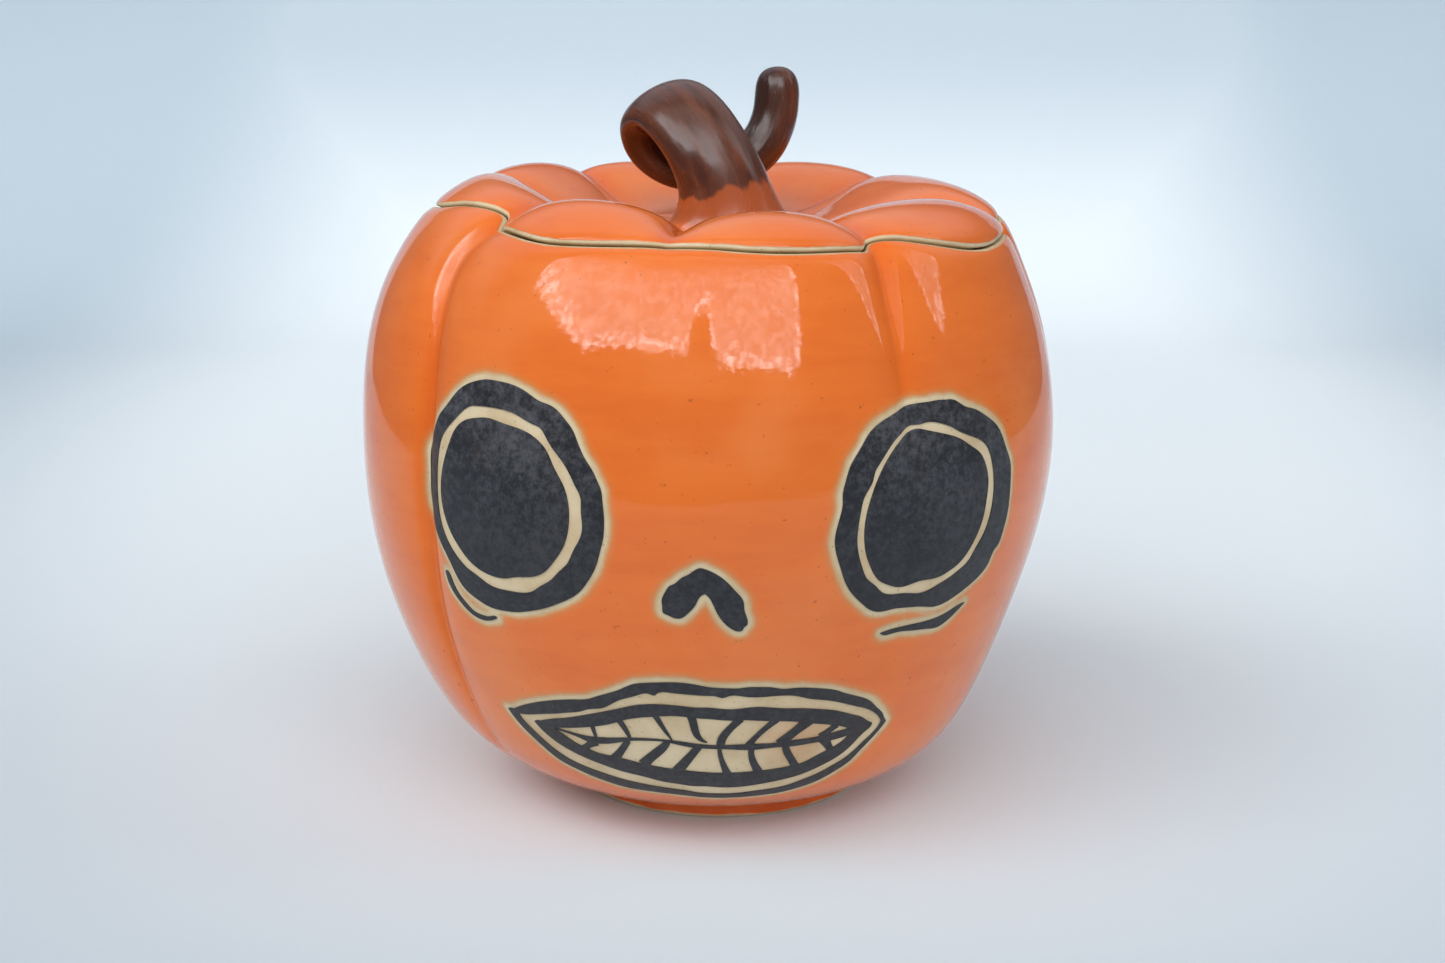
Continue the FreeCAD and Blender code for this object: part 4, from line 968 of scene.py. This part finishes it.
def make_stage():
    """A pale paper floor that sweeps up behind the jar, with painted shade away from its lit
    middle and up the sweep.
    """
    line = [(FLOOR_FRONT, 0.0), (FLOOR_BACK, 0.0)]
    for k in range(1, SWEEP_STEPS + 1):
        angle = math.radians(90 * k / SWEEP_STEPS)
        line.append((FLOOR_BACK + SWEEP_RADIUS * math.sin(angle),
                     SWEEP_RADIUS * (1 - math.cos(angle))))
    line.append((FLOOR_BACK + SWEEP_RADIUS, SWEEP_TOP))
    points = [(side * FLOOR_HALF, y, z) for y, z in line for side in (-1, 1)]
    faces = [(2 * k, 2 * k + 1, 2 * k + 3, 2 * k + 2) for k in range(len(line) - 1)]
    mesh = bpy.data.meshes.new("paper_sweep")
    mesh.from_pydata(points, [], faces)
    mesh.polygons.foreach_set("use_smooth", [True] * len(faces))
    material, tree = new_material("pale_paper")
    centre = (-PALE_CENTRE[0] / PALE_REACH[0], -PALE_CENTRE[1] / PALE_REACH[1], 0.0)
    scale = (1 / PALE_REACH[0], 1 / PALE_REACH[1], 1 / PALE_REACH[1])
    away = tree.add("Mapping", {"Vector": tree.place(), "Location": centre,
                                "Scale": scale}).outputs[0]
    distance = tree.add("VectorMath", {0: away}, operation="LENGTH").outputs["Value"]
    # painted shade: the paper darkens away from its lit middle and as the sweep rises
    sweep_shade = tree.ramp(tree.height(), 0.01, 0.2, 0.0, 0.85)
    shade = tree.math("MAXIMUM", tree.ramp(distance, 0.6, 1.2), sweep_shade)
    colour = tree.mix(shade, PAPER, PAPER_SHADED)
    grain = tree.bump(tree.noise(900.0, 2.0, 0.6), 0.00005)
    tree.surface(**{"Base Color": colour, "Roughness": 0.9, "Normal": grain})
    mesh.materials.append(material)
    floor = bpy.data.objects.new("paper_sweep", mesh)
    bpy.context.scene.collection.objects.link(floor)


# The bright sky that the glaze mirrors: how high its skyline stands, by azimuth.
SKYLINE = [
    (-82.0, 60.0), (-79.0, 39.5), (-66.0, 35.5), (-55.0, 31.0), (-47.0, 26.5), (-43.0, 23.8),
    (-34.0, 25.7), (-16.0, 26.8), (-5.6, 25.6), (-4.8, 34.0), (-3.6, 39.0), (2.8, 39.0),
    (3.9, 34.0), (4.7, 22.3), (21.0, 20.3), (31.0, 18.7), (34.0, 24.0), (41.0, 46.0),
    (48.0, 70.0), (66.0, 70.0), (70.0, 50.0), (72.0, 35.0), (78.0, 29.0), (82.0, 23.0),
    (83.5, 17.0), (88.0, 21.0), (91.0, 25.0), (96.0, 34.0), (100.0, 70.0),
]
SKY_FADE = (44.0, 66.0)             # towards the zenith it fades out over these elevations
SKY_SIDE = (50.0, 70.0)             # and it is dimmer beyond these azimuths
CEILING_RISE = (50.0, 78.0)         # elevations over which the ceiling brightens
FAR_WALL_RISE = (19.0, 38.0)
SKY = (10.8, 11.0, 11.2, 1.0)
ROOM = (0.15, 0.16, 0.18, 1.0)
CEILING = (0.95, 0.97, 1.0, 1.0)
FAR_WALL = (0.62, 0.68, 0.78, 1.0)  # what the lid and the stem mirror from behind the jar
BEHIND = (0.42, 0.52, 0.62, 1.0)    # what a camera sees past the paper


def skyline_height(tree, turn):
    """The skyline's elevation in degrees, from an azimuth in radians."""
    share = tree.math("MULTIPLY_ADD", turn, 0.5 / math.pi, 0.5)
    curve = tree.add("FloatCurve", {"Value": share})
    line = curve.mapping.curves[0]
    line.points[0].location = (0.0, 1.0)
    line.points[1].location = (1.0, 1.0)
    for azimuth, height in SKYLINE:
        line.points.new(0.5 + azimuth / 360, height / 90)
    for point in line.points:
        point.handle_type = "VECTOR"
    curve.mapping.update()
    return tree.math("MULTIPLY", curve.outputs[0], 90.0)


def make_world():
    """A dim room with a bright patch of sky, seen in the glaze."""
    world = bpy.data.worlds.new("room")
    bpy.context.scene.world = world
    tree = Tree(world)
    direction = tree.add("TexCoord").outputs["Generated"]
    x, y, z = tree.add("SeparateXYZ", {"Vector": direction}).outputs[:3]
    turn = tree.math("ARCTAN2", x, tree.math("MULTIPLY", y, -1.0))
    skyline = skyline_height(tree, turn)
    elevation = tree.math("MULTIPLY", tree.math("ARCSINE", z), 180 / math.pi)
    ragged = tree.ramp(tree.noise(30.0, 4.0, 0.8, direction), 0.2, 0.8, -4.0, 4.0, False)
    clear = tree.math("ADD", tree.math("SUBTRACT", elevation, skyline), ragged)
    open_sky = tree.math("MULTIPLY", tree.ramp(clear, -0.4, 0.6),
                         tree.ramp(elevation, *SKY_FADE, 1.0, 0.0))
    cloud = tree.ramp(tree.noise(11.0, 6.0, 0.8, direction), 0.4, 0.64, 0.15, 0.32)
    wisp = tree.ramp(tree.noise(24.0, 5.0, 0.75, direction), 0.43, 0.6)
    lining = tree.math("MULTIPLY", tree.ramp(clear, 1.5, 9.0, 1.0, 0.35), wisp)
    side = tree.ramp(turn, math.radians(SKY_SIDE[0]), math.radians(SKY_SIDE[1]), 1.0, 0.45)
    cloud = tree.math("MULTIPLY", tree.math("MAXIMUM", cloud, lining), side)
    ahead = tree.math("MULTIPLY", tree.ramp(elevation, *CEILING_RISE),
                      tree.ramp(y, -0.25, 0.05, 1.0, 0.0))
    behind = tree.math("MULTIPLY", tree.ramp(y, 0.0, 0.3), tree.ramp(elevation, *FAR_WALL_RISE))
    light_path = tree.add("LightPath").outputs
    behind = tree.math("MULTIPLY", behind, light_path["Is Glossy Ray"])
    room = tree.mix(behind, tree.mix(ahead, ROOM, CEILING), FAR_WALL)
    radiance = tree.mix(tree.math("MULTIPLY", open_sky, cloud), room, SKY)
    radiance = tree.mix(light_path["Is Camera Ray"], radiance, BEHIND)
    background = tree.add("Background", {"Color": radiance, "Strength": 1.0})
    tree.add("OutputWorld", {"Surface": background.outputs[0]})


# name, place, aim, size, power, colour
LIGHTS = [
    ("key", (-1.2, -0.55, 1.45), (0, 0, 0.08), (1.2, 1.2), 8.4, (1.0, 0.99, 0.97)),
    ("fill", (1.1, -0.7, 0.6), (0, 0, 0.08), (1.0, 0.8), 2.7, (0.94, 0.97, 1.0)),
    ("backdrop", (0.0, 0.35, 1.2), (0, 0.9, 0.1), (2.8, 0.4), 0.15, (0.98, 0.99, 1.0)),
    ("top", (0.1, -0.1, 1.5), (0, 0, 0.1), (1.2, 1.2), 1.3, (0.97, 0.99, 1.0)),
]


def make_lights():
    for name, place, aim, size, power, colour in LIGHTS:
        light = bpy.data.lights.new(name, "AREA")
        light.shape = "RECTANGLE"
        light.size, light.size_y = size
        light.energy = power
        light.color = colour
        lamp = bpy.data.objects.new(name, light)
        lamp.location = place
        lamp.rotation_euler = (Vector(aim) - Vector(place)).to_track_quat("-Z", "Y").to_euler()
        lamp.visible_glossy = False
        bpy.context.scene.collection.objects.link(lamp)


def make_camera():
    camera = bpy.data.cameras.new("camera")
    camera.lens = CAMERA_LENS
    camera.sensor_width = CAMERA_SENSOR
    view = bpy.data.objects.new("camera", camera)
    view.location = CAMERA_PLACE
    view.rotation_euler = (math.radians(CAMERA_TILT), 0, 0)
    bpy.context.scene.collection.objects.link(view)
    bpy.context.scene.camera = view


def main():
    clay = clay_material()
    glaze = glaze_material("orange_glaze_body", BODY_BARE_EDGE, True)
    make_jar_body(glaze, cream_glaze_material(), clay)
    make_lid(glaze_material("orange_glaze_lid", LID_BARE_EDGE, False), clay)
    make_foot(foot_material())
    dress(["lid_locating_flange"], clay)
    make_stem(stem_material())
    dress(SLIP_NODES, slip_material())
    make_stage()
    make_world()
    make_lights()
    make_camera()
    bpy.context.scene.view_settings.view_transform = "Standard"


main()
